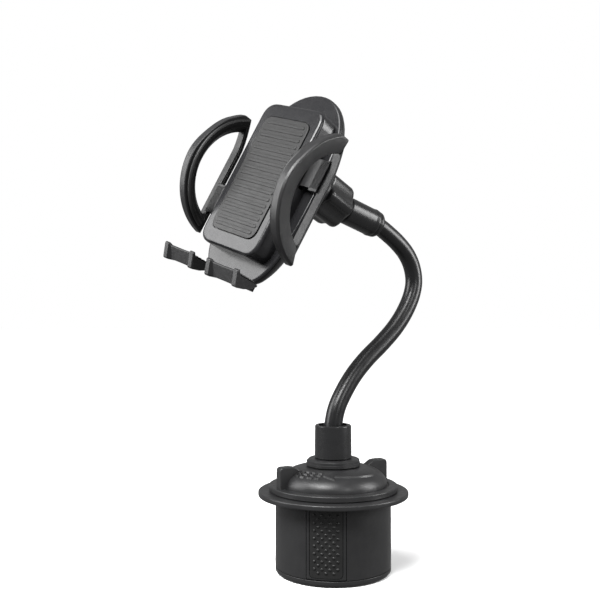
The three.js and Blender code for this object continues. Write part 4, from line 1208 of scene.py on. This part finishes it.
# ---- floor, light and camera
CAMERA_AT = Vector((0.3998, -0.3031, 0.1498))
CAMERA_AZIMUTH = 55 * DEG
CAMERA_PITCH = 0.58 * DEG
CAMERA_LENS = 52.4
AHEAD = Vector((-math.sin(CAMERA_AZIMUTH), math.cos(CAMERA_AZIMUTH), 0))
ASIDE = Vector((math.cos(CAMERA_AZIMUTH), math.sin(CAMERA_AZIMUTH), 0))
SKY = Vector((0, 0, 1))
WORLD_ON_SURFACES = 0.32            # the world's strength, and where the camera sees it
WORLD_SEEN = 1.0
FLOOR_R = 6
FLOOR_WHITE = ((0.94, 0.94, 0.94), (0.95, 0.95, 0.95))


def aim_along(obj, direction):
    obj.rotation_euler = direction.to_track_quat("-Z", "Y").to_euler()


def camera():
    data = bpy.data.cameras.new("camera")
    data.lens = CAMERA_LENS
    data.clip_start = 0.01
    obj = added("camera", data)
    obj.location = CAMERA_AT
    aim_along(obj, AHEAD * math.cos(CAMERA_PITCH) + SKY * math.sin(CAMERA_PITCH))
    bpy.context.scene.camera = obj


def softbox(name, toward, distance, size, power, aim):
    data = bpy.data.lights.new(name, "AREA")
    data.shape = "RECTANGLE"
    data.size, data.size_y = size
    data.energy = power
    obj = added(name, data)
    place = aim + toward.normalized() * distance
    obj.location = place
    aim_along(obj, aim - place)


def wide_sun(toward, spread, strength):
    """An even light from a whole patch of the sky."""
    data = bpy.data.lights.new("sky", "SUN")
    data.angle = spread
    data.energy = strength
    aim_along(added("sky", data), -toward)


def studio():
    world = bpy.data.worlds.new("studio")
    world.use_nodes = True
    tree = world.node_tree
    background = tree.nodes["Background"]
    background.inputs["Color"].default_value = (1, 1, 1, 1)
    ray = tree.nodes.new("ShaderNodeLightPath")
    level = tree.nodes.new("ShaderNodeMapRange")
    level.inputs["To Min"].default_value = WORLD_ON_SURFACES
    level.inputs["To Max"].default_value = WORLD_SEEN
    tree.links.new(ray.outputs["Is Camera Ray"], level.inputs["Value"])
    tree.links.new(level.outputs["Result"], background.inputs["Strength"])
    bpy.context.scene.world = world
    bpy.context.scene.view_settings.view_transform = "Standard"
    middle = Vector((0, 0, 0.13))
    wide_sun(SKY - AHEAD * 0.45 - ASIDE * 0.4, 40 * DEG, 3.2)
    # (name, where it stands, distance and size in metres, watts)
    for name, toward, distance, size, power in (
        ("front_left", -AHEAD * 0.75 + SKY * 0.8 - ASIDE * 0.45, 0.9, (0.45, 0.3), 12),
        ("front_right", -AHEAD * 0.8 + SKY * 0.35 + ASIDE * 0.45, 0.9, (0.12, 0.4), 2),
        ("left", SKY * 0.4 - ASIDE - AHEAD * 0.1, 0.8, (0.4, 0.6), 6),
        ("right", SKY * 0.3 + ASIDE - AHEAD * 0.12, 0.8, (0.3, 0.5), 7),
    ):
        softbox(name, toward, distance, size, power, middle)
    bpy.ops.mesh.primitive_circle_add(vertices=96, radius=FLOOR_R, fill_type="NGON")
    floor = bpy.context.object
    floor.name = "floor"
    floor.visible_diffuse = False       # no bounce from below, as over an open studio table
    floor.visible_glossy = False
    white = moulded("floor", *FLOOR_WHITE, roughness=0.7, grain=0.02, grain_size=0.01)
    floor.data.materials.append(white)


# ---- the whole
camera()
base_shell()
bottom_plate()
for number in (1, 2, 3):
    grip_jaw(number)
    jaw_pad(number)
dial()
neck_lock_nut()
neck_socket()
gooseneck()
upper_sleeve()
sleeve_ring()
ball_stud()
ball_lock_nut()
back_housing()
front_cover()
front_pad()
for hand in ("right", "left"):
    arm(hand)
    arm_lining(hand)
    foot(hand)
    foot_pad(hand)
release_button()
dress_cad_nodes()
studio()
